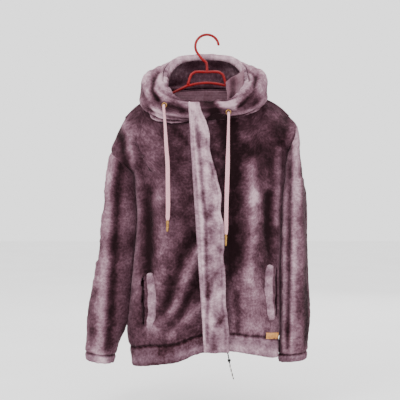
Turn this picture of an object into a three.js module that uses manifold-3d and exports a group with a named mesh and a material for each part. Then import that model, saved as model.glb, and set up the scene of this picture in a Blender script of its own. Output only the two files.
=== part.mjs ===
// A hooded plush zip jacket on a one-piece plastic clothes hanger.
// Millimetres. +Z is up, the front faces -Y, and the wearer's left is +X.
// The origin is the point inside the crown of the hook that bears on the rail.
import * as THREE from 'three';
import * as BufferGeometryUtils from 'three/addons/utils/BufferGeometryUtils.js';
import Module from 'manifold-3d';

const wasm = await Module();
wasm.setup();

// ---- driving dimensions ----
const cloth = 4.5;              // plush with its backing
const seamGap = 0.6;            // between two sewn pieces
const halfSeam = 0.3;           // each side of a seam that lies in the XZ plane

const rod = 6.6;                // hanger rod
const hookRadius = 25.8;        // inside the hook
const hookTipAngle = 9;         // degrees above the horizontal
const hookBackAngle = 217;      // where the hook turns into its stem
const loopTop = -90;            // top bar of the hanger's neck loop
const loopHalfTop = 36;
const loopFoot = -119;          // where the arms leave the loop
const loopHalfFoot = 47;
const armDrop = 58;             // fall of an arm from the loop to its tip
const barArch = 5;              // rise of the short lower bar

const bodyHalfWidth = 185;
const armSpan = 175 - 4 * cloth;   // half the hanger's width
const bodyLength = 620;         // shoulder tip to the side of the hem
const neckCentre = -12.5;
const neckHalfWidth = 147.5;
const frontDepthTop = 62;       // front face ahead of the hanger at the neck
const frontDepthHem = 84;
const backDepthTop = 38;
const backDepthHem = 60;
const shoulderFade = 100;       // the shoulder rounds into the body over this drop
const armholeDepth = 42;        // half the armhole's width, front to back
const hemHeight = 44;

const zipTop = { x: -5, z: -226 };
const zipBottom = { x: 40, z: -137 - bodyLength };
const zipGapHalf = 7;           // bare space each side of the zip's centre
const tapeWidth = 14;
const tapeThick = 0.8;
const toothReach = 4.2;
const toothThick = 2.4;
const sliderWidth = 12;
const sliderLength = 14;
const sliderThick = 8;
const sliderClear = 0.5;

const flapTop = -177;
const flapWidth = 61;
const flapThick = 6;
const flapDepthTop = 87;        // hinge line ahead of the hanger
const flapDepthHem = 100;

const sleeveGap = 7;            // at the armhole
const neckLift = 5;             // the hood's seam stands this far above the body's neck edge
const cuffHeight = 22;
const cordWidth = 10;           // flat drawstring
const cordThick = 3;
const tipLength = 20;
const tipRadius = 3.2;
const pocketWidth = 22;
const pocketHeight = 146;
const slotWidth = 9;
const pocketSpace = 16;         // room for a hand inside the pocket bag
const labelWidth = 40;
const labelHeight = 15;

// ---- small tools ----
const { lerp, clamp, degToRad } = THREE.MathUtils;
const vec = (x, y, z) => new THREE.Vector3(x, y, z);

// A smooth function through [t, value] pairs, level beyond its ends.
function through(pairs) {
  return t => {
    if (t <= pairs[0][0]) return pairs[0][1];
    const last = pairs.length - 1;
    if (t >= pairs[last][0]) return pairs[last][1];
    let i = 0;
    while (pairs[i + 1][0] < t) i += 1;
    const slope = k => (k <= 0 || k >= last ? 0
      : (pairs[k + 1][1] - pairs[k - 1][1]) / (pairs[k + 1][0] - pairs[k - 1][0]));
    const run = pairs[i + 1][0] - pairs[i][0];
    const f = (t - pairs[i][0]) / run;
    const g = 1 - f;
    return pairs[i][1] * g * g * (1 + 2 * f) + pairs[i + 1][1] * f * f * (3 - 2 * f)
      + slope(i) * run * f * g * g - slope(i + 1) * run * f * f * g;
  };
}

const evenly = (from, to, count) => Array.from({ length: count + 1 }, (_, i) => lerp(from, to, i / count));

function meshOf(name, geometry, material) {
  const mesh = new THREE.Mesh(geometry, material);
  mesh.name = name;
  return mesh;
}

// Turns an indexed geometry so that its faces point out.
function facingOut(geometry) {
  const p = geometry.attributes.position;
  const index = geometry.index.array;
  const [a, b, c] = [vec(0, 0, 0), vec(0, 0, 0), vec(0, 0, 0)];
  let volume = 0;
  for (let i = 0; i < index.length; i += 3) {
    a.fromBufferAttribute(p, index[i]);
    b.fromBufferAttribute(p, index[i + 1]);
    c.fromBufferAttribute(p, index[i + 2]);
    volume += a.dot(b.cross(c));
  }
  if (volume < 0) {
    for (let i = 0; i < index.length; i += 3) [index[i], index[i + 1]] = [index[i + 1], index[i]];
  }
  geometry.computeVertexNormals();
  return geometry;
}

// A sheet with thickness: `point(u, v)` is its outer face, and its inner face lies `thick` behind it.
// `across` and `down` are the stations of u and v; `ring` closes the sheet in u; `keep` may
// correct an inner point; `side` is +1 or -1 for the way the outer face looks, and `raise` lifts
// both faces.
function sheet({ point, across, down, thick, side, ring = false, keep = p => p, raise = 0 }) {
  const columns = ring ? across.length - 1 : across.length;
  const rows = down.length;
  const step = 1e-3;
  const outer = [];
  const inner = [];
  for (const v of down) {
    for (const u of across.slice(0, columns)) {
      const along = point(Math.min(u + step, ring ? 2 : 1), v).sub(point(ring ? u - step : Math.max(u - step, 0), v));
      const fall = point(u, Math.min(v + step, 1)).sub(point(u, Math.max(v - step, 0)));
      const normal = along.cross(fall).normalize().multiplyScalar(side);
      const base = point(u, v);
      outer.push(base.clone().addScaledVector(normal, raise));
      inner.push(keep(base.clone().addScaledVector(normal, raise - thick), base));
    }
  }
  const index = [];
  const offset = outer.length;
  const quad = (a, b, c, d) => index.push(a, b, c, a, c, d);
  const at = (i, j) => j * columns + (i % columns);
  const spans = ring ? columns : columns - 1;
  for (let j = 0; j < rows - 1; j += 1) {
    for (let i = 0; i < spans; i += 1) {
      const [a, b, c, d] = [at(i, j), at(i + 1, j), at(i + 1, j + 1), at(i, j + 1)];
      quad(a, b, c, d);
      quad(offset + d, offset + c, offset + b, offset + a);
    }
  }
  for (let i = 0; i < spans; i += 1) {
    const [a, b] = [at(i, 0), at(i + 1, 0)];
    const [c, d] = [at(i, rows - 1), at(i + 1, rows - 1)];
    quad(b, a, offset + a, offset + b);
    quad(c, d, offset + d, offset + c);
  }
  if (!ring) {
    for (let j = 0; j < rows - 1; j += 1) {
      const [a, b] = [at(0, j), at(0, j + 1)];
      const [c, d] = [at(columns - 1, j), at(columns - 1, j + 1)];
      quad(a, b, offset + b, offset + a);
      quad(d, c, offset + c, offset + d);
    }
  }
  const geometry = new THREE.BufferGeometry();
  const flat = [...outer, ...inner].flatMap(p => [p.x, p.y, p.z]);
  geometry.setAttribute('position', new THREE.Float32BufferAttribute(flat, 3));
  geometry.setIndex(index);
  return facingOut(geometry);
}

function solidOf(geometry) {
  const bare = geometry.clone();
  for (const name of ['normal', 'uv']) bare.deleteAttribute(name);
  const merged = BufferGeometryUtils.mergeVertices(bare, 1e-4);
  return new wasm.Manifold(new wasm.Mesh({
    numProp: 3,
    vertProperties: new Float32Array(merged.attributes.position.array),
    triVerts: new Uint32Array(merged.index.array),
  }));
}

function geometryOf(solid) {
  const mesh = solid.getMesh();
  const geometry = new THREE.BufferGeometry();
  geometry.setAttribute('position', new THREE.BufferAttribute(mesh.vertProperties, 3));
  geometry.setIndex(new THREE.BufferAttribute(mesh.triVerts, 1));
  geometry.computeVertexNormals();
  return geometry;
}

const joined = parts => geometryOf(parts.map(solidOf).reduce((a, b) => a.add(b)));
const cutBy = (geometry, cutter) => geometryOf(solidOf(geometry).subtract(solidOf(cutter)));

function ellipse(halfWide, halfDeep, sides, turn = 0) {
  const corners = evenly(0, 2 * Math.PI, sides).slice(0, sides).map(a => {
    const [x, y] = [halfWide * Math.cos(a), halfDeep * Math.sin(a)];
    return new THREE.Vector2(x * Math.cos(turn) - y * Math.sin(turn), x * Math.sin(turn) + y * Math.cos(turn));
  });
  return new THREE.Shape(corners);
}

// A section carried along a path; `wide` is the direction that the section's width keeps at the start.
function swept(path, steps, halfWide, halfDeep, sides, wide = vec(0, 1, 0)) {
  const frames = path.computeFrenetFrames(steps, false);
  const turn = Math.atan2(frames.binormals[0].dot(wide), frames.normals[0].dot(wide));
  const section = ellipse(halfWide, halfDeep, sides, turn);
  return new THREE.ExtrudeGeometry(section, { steps, bevelEnabled: false, extrudePath: path });
}

// ---- materials ----
const plush = new THREE.MeshStandardMaterial({ color: 0x7d5b68, roughness: 0.95 });
const plushTrim = new THREE.MeshStandardMaterial({ color: 0x8c6a77, roughness: 0.95 });
const lining = new THREE.MeshStandardMaterial({ color: 0x9a7a86, roughness: 0.9 });
const tapeCloth = new THREE.MeshStandardMaterial({ color: 0x4a3038, roughness: 0.8 });
const zipPlastic = new THREE.MeshStandardMaterial({ color: 0x3a2a30, roughness: 0.5 });
const braid = new THREE.MeshStandardMaterial({ color: 0xe8cdd0, roughness: 0.85 });
const blackCord = new THREE.MeshStandardMaterial({ color: 0x18161a, roughness: 0.7 });
const brass = new THREE.MeshStandardMaterial({ color: 0xb98d54, roughness: 0.35, metalness: 1 });
const tanLeather = new THREE.MeshStandardMaterial({ color: 0xc98a45, roughness: 0.6 });
const redPlastic = new THREE.MeshStandardMaterial({ color: 0xb01018, roughness: 0.3 });

// ---- hanger ----
const hookCentre = vec(0, 0, -hookRadius);
const armTip = loopFoot - armDrop;

function hangerHook() {
  const centreline = hookRadius + rod / 2;
  const onHook = angle => vec(
    centreline * Math.cos(degToRad(angle)), 0, hookCentre.z + centreline * Math.sin(degToRad(angle)));
  const points = evenly(hookTipAngle, hookBackAngle, 14).map(onHook);
  points.push(vec(-10.5, 0, -59), vec(-2.5, 0, -66), vec(0, 0, -76), vec(0, 0, loopTop - rod / 2 + seamGap + rod));
  return swept(new THREE.CatmullRomCurve3(points, false, 'centripetal'), 44, rod / 2, rod / 2, 10);
}

// The closed neck loop: a flat bar above, two sloping legs and the arched lower bar.
function hangerLoop() {
  const bend = 4;
  const legs = new THREE.CatmullRomCurve3([
    vec(-loopHalfFoot, 0, loopFoot), vec(-loopHalfTop - bend, 0, loopTop - bend * 2), vec(-loopHalfTop, 0, loopTop - bend),
    vec(-loopHalfTop + bend * 2, 0, loopTop), vec(0, 0, loopTop), vec(loopHalfTop - bend * 2, 0, loopTop),
    vec(loopHalfTop, 0, loopTop - bend), vec(loopHalfTop + bend, 0, loopTop - bend * 2), vec(loopHalfFoot, 0, loopFoot),
  ], false, 'centripetal');
  return swept(legs, 28, rod / 2, rod / 2, 10);
}

function hangerBar() {
  const inset = loopHalfFoot - rod / 2 - seamGap;
  const low = loopFoot - rod / 2;
  const path = new THREE.QuadraticBezierCurve3(vec(-inset + 4, 0, low), vec(0, 0, low + 2 * barArch), vec(inset - 4, 0, low));
  return swept(path, 10, rod / 2, rod / 2, 10);
}

function hangerArm(side) {
  const start = vec(side * (loopHalfFoot + rod * 0.35), 0, loopFoot - rod / 2 - 2);
  const end = vec(side * armSpan, 0, armTip);
  return swept(new THREE.LineCurve3(start, end), 8, rod / 2, rod / 2, 10);
}

// ---- outlines of the body ----
// Each side: outset of the side edge beyond bodyHalfWidth by drop below the shoulder tip.
const sides = {
  right: {
    sign: -1, tipZ: -192, neckZ: -165, armholeTop: 98, underarm: 148,
    outset: through([[0, 23], [31, 31], [62, 43], [98, 53], [148, 3], [187, -4], [268, -9], [374, 0], [498, 12], [542, 15], [620, 3]]),
    pose: [[40, 32, 3], [145, 39, 7], [215, 42, 3], [287, 43, 5], [370, 46, 6], [432, 41, 27], [468, 36, 43]],
  },
  left: {
    sign: 1, tipZ: -187, neckZ: -152, armholeTop: 38, underarm: 98,
    outset: through([[0, 23], [38, 40], [98, 20], [183, 10], [238, 5], [398, -3], [548, -3], [610, -6]]),
    pose: [[66, 20, 3], [140, 28, 3], [337, 36, 3], [415, 37, 4], [472, 34, 6], [520, 34, 3]],
  },
};

const neckShare = x => (x - neckCentre) / neckHalfWidth;
const zipX = z => lerp(zipTop.x, zipBottom.x, (z - zipTop.z) / (zipBottom.z - zipTop.z));
const zipDepth = z => lerp(frontDepthTop, frontDepthHem, (z - zipTop.z) / (zipBottom.z - zipTop.z));

const neckFront = through([[-1, -165], [-0.94, -187], [-0.84, -206], [-0.66, -224], [-0.37, -227],
  [-0.03, -218], [0.22, -208], [0.46, -200], [0.73, -190], [0.88, -172], [1, -152]]);
const neckBack = through([[-1, -165], [-0.7, -143], [0, -131], [0.7, -136], [1, -152]]);
const hemLine = through([[-1, -818], [-0.75, -812], [-0.4, -800], [-0.1, -778], [0.25, -772], [0.6, -782], [1, -797]]);
const hemBase = -bodyLength - 192;
const hemZ = x => hemLine(x / bodyHalfWidth) + (hemBase + 812);

const edgeX = (side, drop) => side.sign * (bodyHalfWidth + side.outset(drop));

// Height of the top edge at x: the neck seam, or the slope of the shoulder beyond it.
function topZ(x, neckCurve) {
  const n = neckShare(x);
  if (Math.abs(n) <= 1) return neckCurve(n);
  const side = n < 0 ? sides.right : sides.left;
  const neckX = neckCentre + side.sign * neckHalfWidth;
  return lerp(side.neckZ, side.tipZ, (x - neckX) / (edgeX(side, 0) - neckX));
}

// Share of an armhole's depth at a drop: 0 at its two ends and 1 in the middle.
function armholeArch(side, drop) {
  const f = (drop - side.armholeTop) / (side.underarm - side.armholeTop);
  return f <= 0 || f >= 1 ? 0 : 2 * Math.sqrt(f * (1 - f));
}

// The body's outer face ahead of (or behind) the hanger's plane.
function bodyDepth(x, z, drop, side, centreX, top, hem) {
  const edge = edgeX(side, drop);
  const w = clamp((x - centreX) / (edge - centreX), 0, 1);
  const arch = armholeArch(side, drop);
  const roundness = Math.pow(1 - Math.pow(w, 2.5), lerp(0.5, 1, arch));
  const full = lerp(top, hem, drop / bodyLength);
  const depth = armholeDepth * arch + (full - armholeDepth * arch) * roundness;
  const n = clamp(Math.abs(neckShare(x)), 0, 1);
  const seamDepth = top * Math.sqrt(1 - n * n);
  const fade = Math.pow(1 - clamp(drop / shoulderFade, 0, 1), 2);
  return lerp(depth, seamDepth, fade);
}

// Rows down a panel: close together at the armhole, where the edge turns in.
function panelRows(side, from, to) {
  const hole = evenly(0, Math.PI, 4).map(a => lerp(side.armholeTop, side.underarm, (1 - Math.cos(a)) / 2));
  const rows = [0, 14, 0.55 * side.armholeTop, ...hole, ...evenly(side.underarm, bodyLength, 8).slice(1)];
  const shares = rows.map(drop => drop / bodyLength).filter(v => v > from + 0.01 && v < to - 0.01);
  return [from, ...shares, to];
}

function frontPoint(side, u, v) {
  const drop = v * bodyLength;
  const shiftTop = zipX(zipTop.z);
  const x0 = lerp(edgeX(side, 0), shiftTop + side.sign * zipGapHalf, u);
  const x1 = lerp(edgeX(side, bodyLength), zipX(hemZ(0)) + side.sign * zipGapHalf, u);
  const z = lerp(topZ(x0, neckFront), hemZ(x1), v);
  const x = lerp(edgeX(side, drop), zipX(z) + side.sign * zipGapHalf, u);
  const depth = bodyDepth(x, z, drop, side, zipX(z), frontDepthTop, frontDepthHem);
  return vec(x, -depth - halfSeam, z);
}

function backPoint(u, v) {
  const drop = v * bodyLength;
  const x0 = lerp(edgeX(sides.right, 0), edgeX(sides.left, 0), u);
  const x1 = lerp(edgeX(sides.right, bodyLength), edgeX(sides.left, bodyLength), u);
  const z = lerp(topZ(x0, neckBack), hemZ(x1), v);
  const x = lerp(edgeX(sides.right, drop), edgeX(sides.left, drop), u);
  const side = u < 0.5 ? sides.right : sides.left;
  const depth = bodyDepth(x, z, drop, side, neckCentre, backDepthTop, backDepthHem);
  return vec(x, depth + halfSeam, z);
}

const keepAhead = p => p.setY(Math.min(p.y, -halfSeam));
const keepBehind = p => p.setY(Math.max(p.y, halfSeam));
const hemShare = 1 - hemHeight / bodyLength;
const panelColumns = [0, 0.03, 0.08, 0.16, 0.27, 0.4, 0.55, 0.7, 0.85, 1];
const seamShare = seamGap / bodyLength;

function frontPanel(side) {
  return sheet({
    point: (u, v) => frontPoint(side, u, v), across: panelColumns,
    down: panelRows(side, 0, hemShare - seamShare / 2), thick: cloth, side: side.sign, keep: keepAhead,
  });
}

function frontHem(side) {
  return sheet({
    point: (u, v) => frontPoint(side, u, v), across: panelColumns,
    down: [hemShare + seamShare / 2, (1 + hemShare) / 2, 1], thick: cloth, side: side.sign, keep: keepAhead,
  });
}

const backColumns = [...panelColumns.map(u => u / 2), ...panelColumns.slice(0, -1).map(u => 1 - u / 2).reverse()];
const backRows = [...new Set([...panelRows(sides.right, 0, hemShare - seamShare / 2),
  ...panelRows(sides.left, 0, hemShare - seamShare / 2)])].sort((a, b) => a - b)
  .filter((v, i, all) => i === 0 || i === all.length - 1 || v - all[i - 1] > 0.012);

function backPanel() {
  return sheet({ point: backPoint, across: backColumns, down: backRows, thick: cloth, side: 1, keep: keepBehind });
}

function backHem() {
  return sheet({
    point: backPoint, across: backColumns, down: [hemShare + seamShare / 2, (1 + hemShare) / 2, 1],
    thick: cloth, side: 1, keep: keepBehind,
  });
}

// ---- pockets ----
// Each pocket's centre on the front, and how far it leans per millimetre of its height.
const pockets = {
  right: { x: -140, z: -36 - bodyLength, lean: 0 },
  left: { x: 156, z: -16 - bodyLength, lean: 0.02 },
};

// The front's own coordinates at (x, z), found by walking its surface.
function shareAt(side, x, z) {
  let [u, v] = [0.3, 0.6];
  for (let i = 0; i < 40; i += 1) {
    const p = frontPoint(side, u, v);
    u = clamp(u + (x - p.x) / (-side.sign * bodyHalfWidth), 0.001, 0.999);
    v = clamp(v + (p.z - z) / bodyLength, 0.001, 0.999);
  }
  return { u, v };
}

// A point `ahead` of the front's face at (x, z), along the face's normal.
function onFront(side, x, z, ahead = 0) {
  const { u, v } = shareAt(side, x, z);
  const step = 1e-3;
  const along = frontPoint(side, u + step, v).sub(frontPoint(side, u, v));
  const fall = frontPoint(side, u, v + step).sub(frontPoint(side, u, v));
  const normal = along.cross(fall).normalize().multiplyScalar(side.sign);
  return frontPoint(side, u, v).addScaledVector(normal, ahead);
}

function pocketWelt(side, centre) {
  const bow = 8;
  const point = (u, v) => {
    const b = lerp(-pocketHeight / 2, pocketHeight / 2, v);
    const curve = bow * side.sign * (1 - (2 * b / pocketHeight) ** 2);
    const x = centre.x + lerp(-pocketWidth / 2, pocketWidth / 2, u) + centre.lean * b - curve;
    return onFront(side, x, centre.z - b);
  };
  return sheet({ point, across: evenly(0, 1, 3), down: evenly(0, 1, 8), thick: 5, side: -1, raise: 5 + seamGap });
}

const slotX = (side, centre) => centre.x + side.sign * (pocketWidth / 2 + slotWidth / 2);

function pocketSlot(side, centre) {
  const face = onFront(side, slotX(side, centre), centre.z);
  const cutter = new THREE.BoxGeometry(slotWidth, 2 * frontDepthHem, pocketHeight - 20);
  return cutter.translate(face.x, face.y - frontDepthHem / 2, face.z);
}

// The bag behind the slot: a dished sheet whose rim nears the front all round.
const bagHalfWidth = 40;
const bagHalfHeight = pocketHeight / 2 + 12;
const bagEdge = 3;              // bag cloth beyond the slot's outer side

function pocketBag(side, centre) {
  const middle = slotX(side, centre) + side.sign * (slotWidth / 2 + bagEdge - bagHalfWidth);
  const point = (u, v) => {
    const [a, b] = [lerp(-1, 1, u), lerp(-1, 1, v)];
    const dish = Math.sqrt((1 - a ** 4) * (1 - b ** 4));
    return onFront(side, middle + a * bagHalfWidth, centre.z - b * bagHalfHeight, -cloth - 2.5 - pocketSpace * dish);
  };
  return sheet({ point, across: evenly(0, 1, 8), down: evenly(0, 1, 8), thick: 1.5, side: -1 });
}

function hemLabel() {
  const centre = { x: 158, z: -122 - bodyLength };
  const tilt = 0.12;
  const point = (u, v) => {
    const a = lerp(-labelWidth / 2, labelWidth / 2, u);
    return onFront(sides.left, centre.x + a * 0.8, centre.z - lerp(-labelHeight / 2, labelHeight / 2, v) - a * tilt);
  };
  return sheet({ point, across: evenly(0, 1, 3), down: [0, 1], thick: 1.2, side: -1, raise: 1.2 + 2 * seamGap });
}

// ---- sleeves ----
// Rings down a sleeve: centre, half-width vector in XZ, and half-depth.
function sleeveRings(side) {
  const tipZ = side.tipZ;
  const outer = vec(edgeX(side, side.armholeTop), 0, tipZ - side.armholeTop);
  const under = vec(edgeX(side, side.underarm), 0, tipZ - side.underarm);
  const along = under.clone().sub(outer);
  const away = vec(-along.z, 0, along.x).multiplyScalar(-side.sign).normalize();
  const start = outer.clone().add(under).multiplyScalar(0.5).addScaledVector(away, -sleeveGap);
  const rings = [{ centre: start, half: along.clone().multiplyScalar(0.5), deep: armholeDepth }];
  for (const [fall, halfWidth, gap] of side.pose) {
    const drop = side.underarm + fall;
    const x = edgeX(side, drop) + side.sign * (gap + halfWidth);
    const deep = lerp(armholeDepth + 2, armholeDepth - 4, fall / 520);
    rings.push({ centre: vec(x, 0, tipZ - drop), half: vec(-side.sign * halfWidth, 0, -4), deep });
  }
  return rings;
}

function sleevePoint(rings, u, v) {
  const spline = pick => through(rings.map((ring, i) => [i / (rings.length - 1), pick(ring)]))(v);
  const centre = vec(spline(r => r.centre.x), 0, spline(r => r.centre.z));
  const half = vec(spline(r => r.half.x), 0, spline(r => r.half.z));
  const angle = 2 * Math.PI * u;
  return centre.addScaledVector(half, -Math.cos(angle)).add(vec(0, -spline(r => r.deep) * Math.sin(angle), 0));
}

const sleeveColumns = evenly(0, 1, 16);

function sleeveLength(rings) {
  return rings.slice(1).reduce((sum, ring, i) => sum + ring.centre.distanceTo(rings[i].centre), 0);
}

function sleeveSheet(side, from, to, rows, raise = 0) {
  const rings = sleeveRings(side);
  return sheet({
    point: (u, v) => sleevePoint(rings, u, v), across: sleeveColumns,
    down: evenly(from, to, rows), thick: cloth, side: side.sign, ring: true, raise,
  });
}

// The cuff is the last stretch of the sleeve's surface, measured along its last ring span.
function cuffShare(side) {
  const rings = sleeveRings(side);
  const last = rings.length - 1;
  const span = rings[last].centre.distanceTo(rings[last - 1].centre);
  return 1 - cuffHeight / span / last;
}

function sleeve(side) {
  return sleeveSheet(side, 0, cuffShare(side) - seamGap / sleeveLength(sleeveRings(side)), 12);
}

const cuff = side => sleeveSheet(side, cuffShare(side), 1, 2);

// ---- hood ----
// Rings from the neck seam to the rim: centre x, half-width, depth and height at front, sides and back.
const hoodRings = [
  { x: -11, half: 155, front: 68, back: 66, zFront: -214, zRight: -160, zLeft: -148, zBack: -215 },
  { x: -8, half: 160, front: 76, back: 84, zFront: -200, zRight: -130, zLeft: -124, zBack: -150 },
  { x: -5, half: 140, front: 80, back: 80, zFront: -182, zRight: -92, zLeft: -88, zBack: -62 },
  { x: -4, half: 113, front: 73, back: 58, zFront: -169, zRight: -98, zLeft: -96, zBack: -40 },
  { x: -2, half: 95, front: 58, back: 38, zFront: -177, zRight: -125, zLeft: -125, zBack: -52 },
];

function neckSeam(side, angle) {
  const x = neckCentre + side.sign * neckHalfWidth * Math.sin(angle);
  const ahead = Math.cos(angle) > 0;
  const n = clamp(neckShare(x), -1, 1);
  const y = -Math.cos(angle) * (ahead ? frontDepthTop : backDepthTop);
  return vec(x, y, (ahead ? neckFront(n) : neckBack(n)) + neckLift);
}

const hoodSeamAngle = 0.0001 * (cloth / 4.5) ** 2;  // the two halves stop just short of each other

function hoodPoint(side, u, v) {
  const angle = lerp(0.002, Math.PI - hoodSeamAngle, u);
  const ahead = Math.cos(angle) > 0;
  const share = Math.abs(Math.cos(angle));
  const squareness = 0.6;
  const stations = hoodRings.map(ring => {
    const zSide = side.sign < 0 ? ring.zRight : ring.zLeft;
    const deep = Math.pow(share, squareness) * (ahead ? -ring.front : ring.back);
    const wide = side.sign * ring.half * Math.pow(Math.sin(angle), squareness);
    return vec(ring.x + wide, deep, lerp(zSide, ahead ? ring.zFront : ring.zBack, share));
  });
  const seam = neckSeam(side, angle);
  if (!ahead) {
    const collar = seam.clone().add(vec(0, 14 * share, 10 * share));
    stations.unshift(collar);
  } else {
    stations.unshift(seam.clone().lerp(stations[0], 0.4));
  }
  stations.unshift(seam);
  return new THREE.CatmullRomCurve3(stations, false, 'centripetal').getPoint(v);
}

const casingShare = 0.875;
const casingRise = 3.5;         // the drawstring's channel stands proud of the hood
const casingGap = 0.0044 * cloth;   // share of the hood left free ahead of the casing
const hoodColumns = evenly(0, 1, 14);

function hoodPanel(side) {
  return sheet({
    point: (u, v) => hoodPoint(side, u, v), across: hoodColumns, down: evenly(0, casingShare - casingGap, 12),
    thick: cloth, side: side.sign,
  });
}

function hoodCasing(side) {
  return sheet({
    point: (u, v) => hoodPoint(side, u, v), across: hoodColumns, down: evenly(casingShare, 1, 3),
    thick: cloth + casingRise, side: side.sign, raise: casingRise,
  });
}

// ---- neck facing ----
function neckFacing() {
  const halfWidth = 95;
  const height = 62;
  const point = (u, v) => {
    const n = lerp(-1, 1, u);
    const low = height * Math.sqrt(Math.max(1 - n ** 2 * 0.92, 0));
    const x = neckCentre + n * halfWidth;
    const z = topZ(x, neckBack) - 3 - low * v;
    const drop = topZ(x, neckBack) - z;
    const depth = bodyDepth(x, z, drop, sides.right, neckCentre, backDepthTop, backDepthHem);
    return vec(x, depth - cloth * 1.7, z);
  };
  return sheet({ point, across: evenly(0, 1, 10), down: evenly(0, 1, 3), thick: 1.5, side: 1 });
}

// ---- zip ----
// Zip pieces are made in the zip's own frame: its origin is the bottom stop and +Z runs up the teeth.
const zipFoot = vec(zipBottom.x, -zipDepth(zipBottom.z) + cloth / 2, zipBottom.z);
const zipHead = vec(zipTop.x, -zipDepth(zipTop.z) + cloth / 2, zipTop.z);
const zipLength = zipHead.distanceTo(zipFoot);
const zipFrame = new THREE.Group();
zipFrame.position.copy(zipFoot);
zipFrame.quaternion.setFromUnitVectors(vec(0, 0, 1), zipHead.clone().sub(zipFoot).normalize());

const boxAt = (w, d, h, x, y, z) => new THREE.BoxGeometry(w, d, h).translate(x, y, z);
const toothGapHalf = 0.3;
const tapeBehind = sliderThick / 2 + tapeThick / 2 + sliderClear;

function zipTape(sign) {
  const inner = toothReach + seamGap;
  return boxAt(tapeWidth, tapeThick, zipLength - 12, sign * (inner + tapeWidth / 2), tapeBehind, zipLength / 2);
}

// Two rows of moulded teeth on one bead: the bead holds them as one strip.
function zipTeeth(sign) {
  const bead = boxAt(1.4, toothThick, zipLength - 8, sign * (toothReach - 0.9), 0, zipLength / 2);
  const parts = [bead];
  const pitch = 13;
  const count = Math.floor((zipLength - 20) / pitch);
  for (let i = 0; i < count; i += 1) {
    const z = 12 + pitch * i + (sign > 0 ? pitch / 2 : 0);
    parts.push(boxAt(toothReach - toothGapHalf - 0.5, toothThick - 0.4, 4, sign * (toothReach + toothGapHalf) / 2, 0, z));
  }
  return joined(parts);
}

function zipSlider() {
  const plate = (sliderThick - toothThick - 2 * sliderClear) / 2;
  const out = sliderThick / 2 - plate / 2;
  const body = [
    boxAt(sliderWidth, plate, sliderLength, 0, -out, 0),
    boxAt(sliderWidth, plate, sliderLength, 0, out, 0),
  ];
  for (const sign of [-1, 1]) {
    const wall = sliderWidth / 2 - toothReach - sliderClear;
    body.push(boxAt(wall, sliderThick, sliderLength, sign * (sliderWidth / 2 - wall / 2), 0, 0));
  }
  const bridgeHeight = 2.6;
  const front = -sliderThick / 2;
  body.push(boxAt(3, 1.2, 10, 0, front - bridgeHeight + 0.6, 0));
  for (const end of [-1, 1]) body.push(boxAt(3, bridgeHeight + 0.4, 1.6, 0, front - bridgeHeight / 2 + 0.2, end * 4.2));
  return joined(body);
}

// ---- zip pull: a cord knotted below the slider's bridge ----
const sliderRest = 10;
const pullRadius = 1.6;
// The route from the slider, measured from the zip's bottom stop.
const pullRoute = [
  [1, -6.25, 0], [2.5, -7.05, -4], [5, -7.65, -9], [8, -8.25, -17], [10.5, -8.65, -27], [12, -8.95, -36],
  [13.5, -9.25, -45], [15.5, -9.55, -55], [18, -9.85, -64], [20.3, -10.15, -73], [22.5, -10.45, -81],
].map(p => vec(...p).add(zipFoot));
const knotPlace = 0.52;
const knotRadius = 3.05;
const knotThick = 1.1;

function zipPullCord() {
  return swept(new THREE.CatmullRomCurve3(pullRoute), 20, pullRadius, pullRadius, 8);
}

function zipPullKnot() {
  const path = new THREE.CatmullRomCurve3(pullRoute);
  const ring = new THREE.TorusGeometry(knotRadius, knotThick, 8, 12);
  ring.applyQuaternion(new THREE.Quaternion().setFromUnitVectors(vec(0, 0, 1), path.getTangent(knotPlace)));
  return ring.translate(...path.getPoint(knotPlace).toArray());
}

// ---- front flap over the zip ----
const flapAxisTop = vec(-46, -flapDepthTop, flapTop);
const flapAxisBottom = vec(-8, -flapDepthHem, -152 - bodyLength);

function frontFlap() {
  const point = (u, v) => {
    const hinge = flapAxisTop.clone().lerp(flapAxisBottom, v);
    const narrow = through([[0, 0.42], [0.08, 0.66], [0.22, 0.78], [0.34, 1], [0.7, 0.98], [1, 0.96]])(v);
    const bulge = 2.5 * Math.sin(Math.PI * u);
    return hinge.add(vec(1 + flapWidth * narrow * u, -flapThick / 2 - bulge, 0));
  };
  return sheet({ point, across: evenly(0, 1, 5), down: evenly(0, 1, 16), thick: flapThick, side: -1 });
}

// ---- drawstrings ----
// Each flat cord: where its eyelet sits on the hood's front, and the route that it hangs along.
const drawstrings = {
  right: {
    eyelet: { x: -104, z: -180 },
    route: [[-101.5, -88, -226], [-98.5, -88, -280], [-95.5, -87, -322], [-94.8, -86, -372], [-94.4, -85, -424], [-95.5, -84, -464]],
  },
  left: {
    eyelet: { x: 52, z: -197 },
    route: [[50.5, -90, -250], [49, -90, -322], [47, -90, -385], [45.5, -89, -440], [44.4, -88, -498]],
  },
};

// The point of the hood's front nearest to (x, z), with its outward normal.
function hoodFront(side, x, z) {
  let best = { miss: Infinity };
  for (const u of evenly(0.02, 0.5, 60)) {
    for (const v of evenly(0.5, 0.98, 40)) {
      const p = hoodPoint(side, u, v);
      const miss = Math.hypot(p.x - x, p.z - z) - 0.3 * p.y / frontDepthTop;
      if (miss < best.miss) best = { miss, u, v, p };
    }
  }
  const { u, v, p } = best;
  const along = hoodPoint(side, u + 0.01, v).sub(hoodPoint(side, u - 0.01, v));
  const fall = hoodPoint(side, u, v + 0.01).sub(hoodPoint(side, u, v - 0.01));
  return { p, normal: along.cross(fall).normalize().multiplyScalar(side.sign) };
}

const eyeletRadius = 5.5;
const eyeletThick = 1.2;
const eyeletLift = eyeletThick + seamGap;

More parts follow.
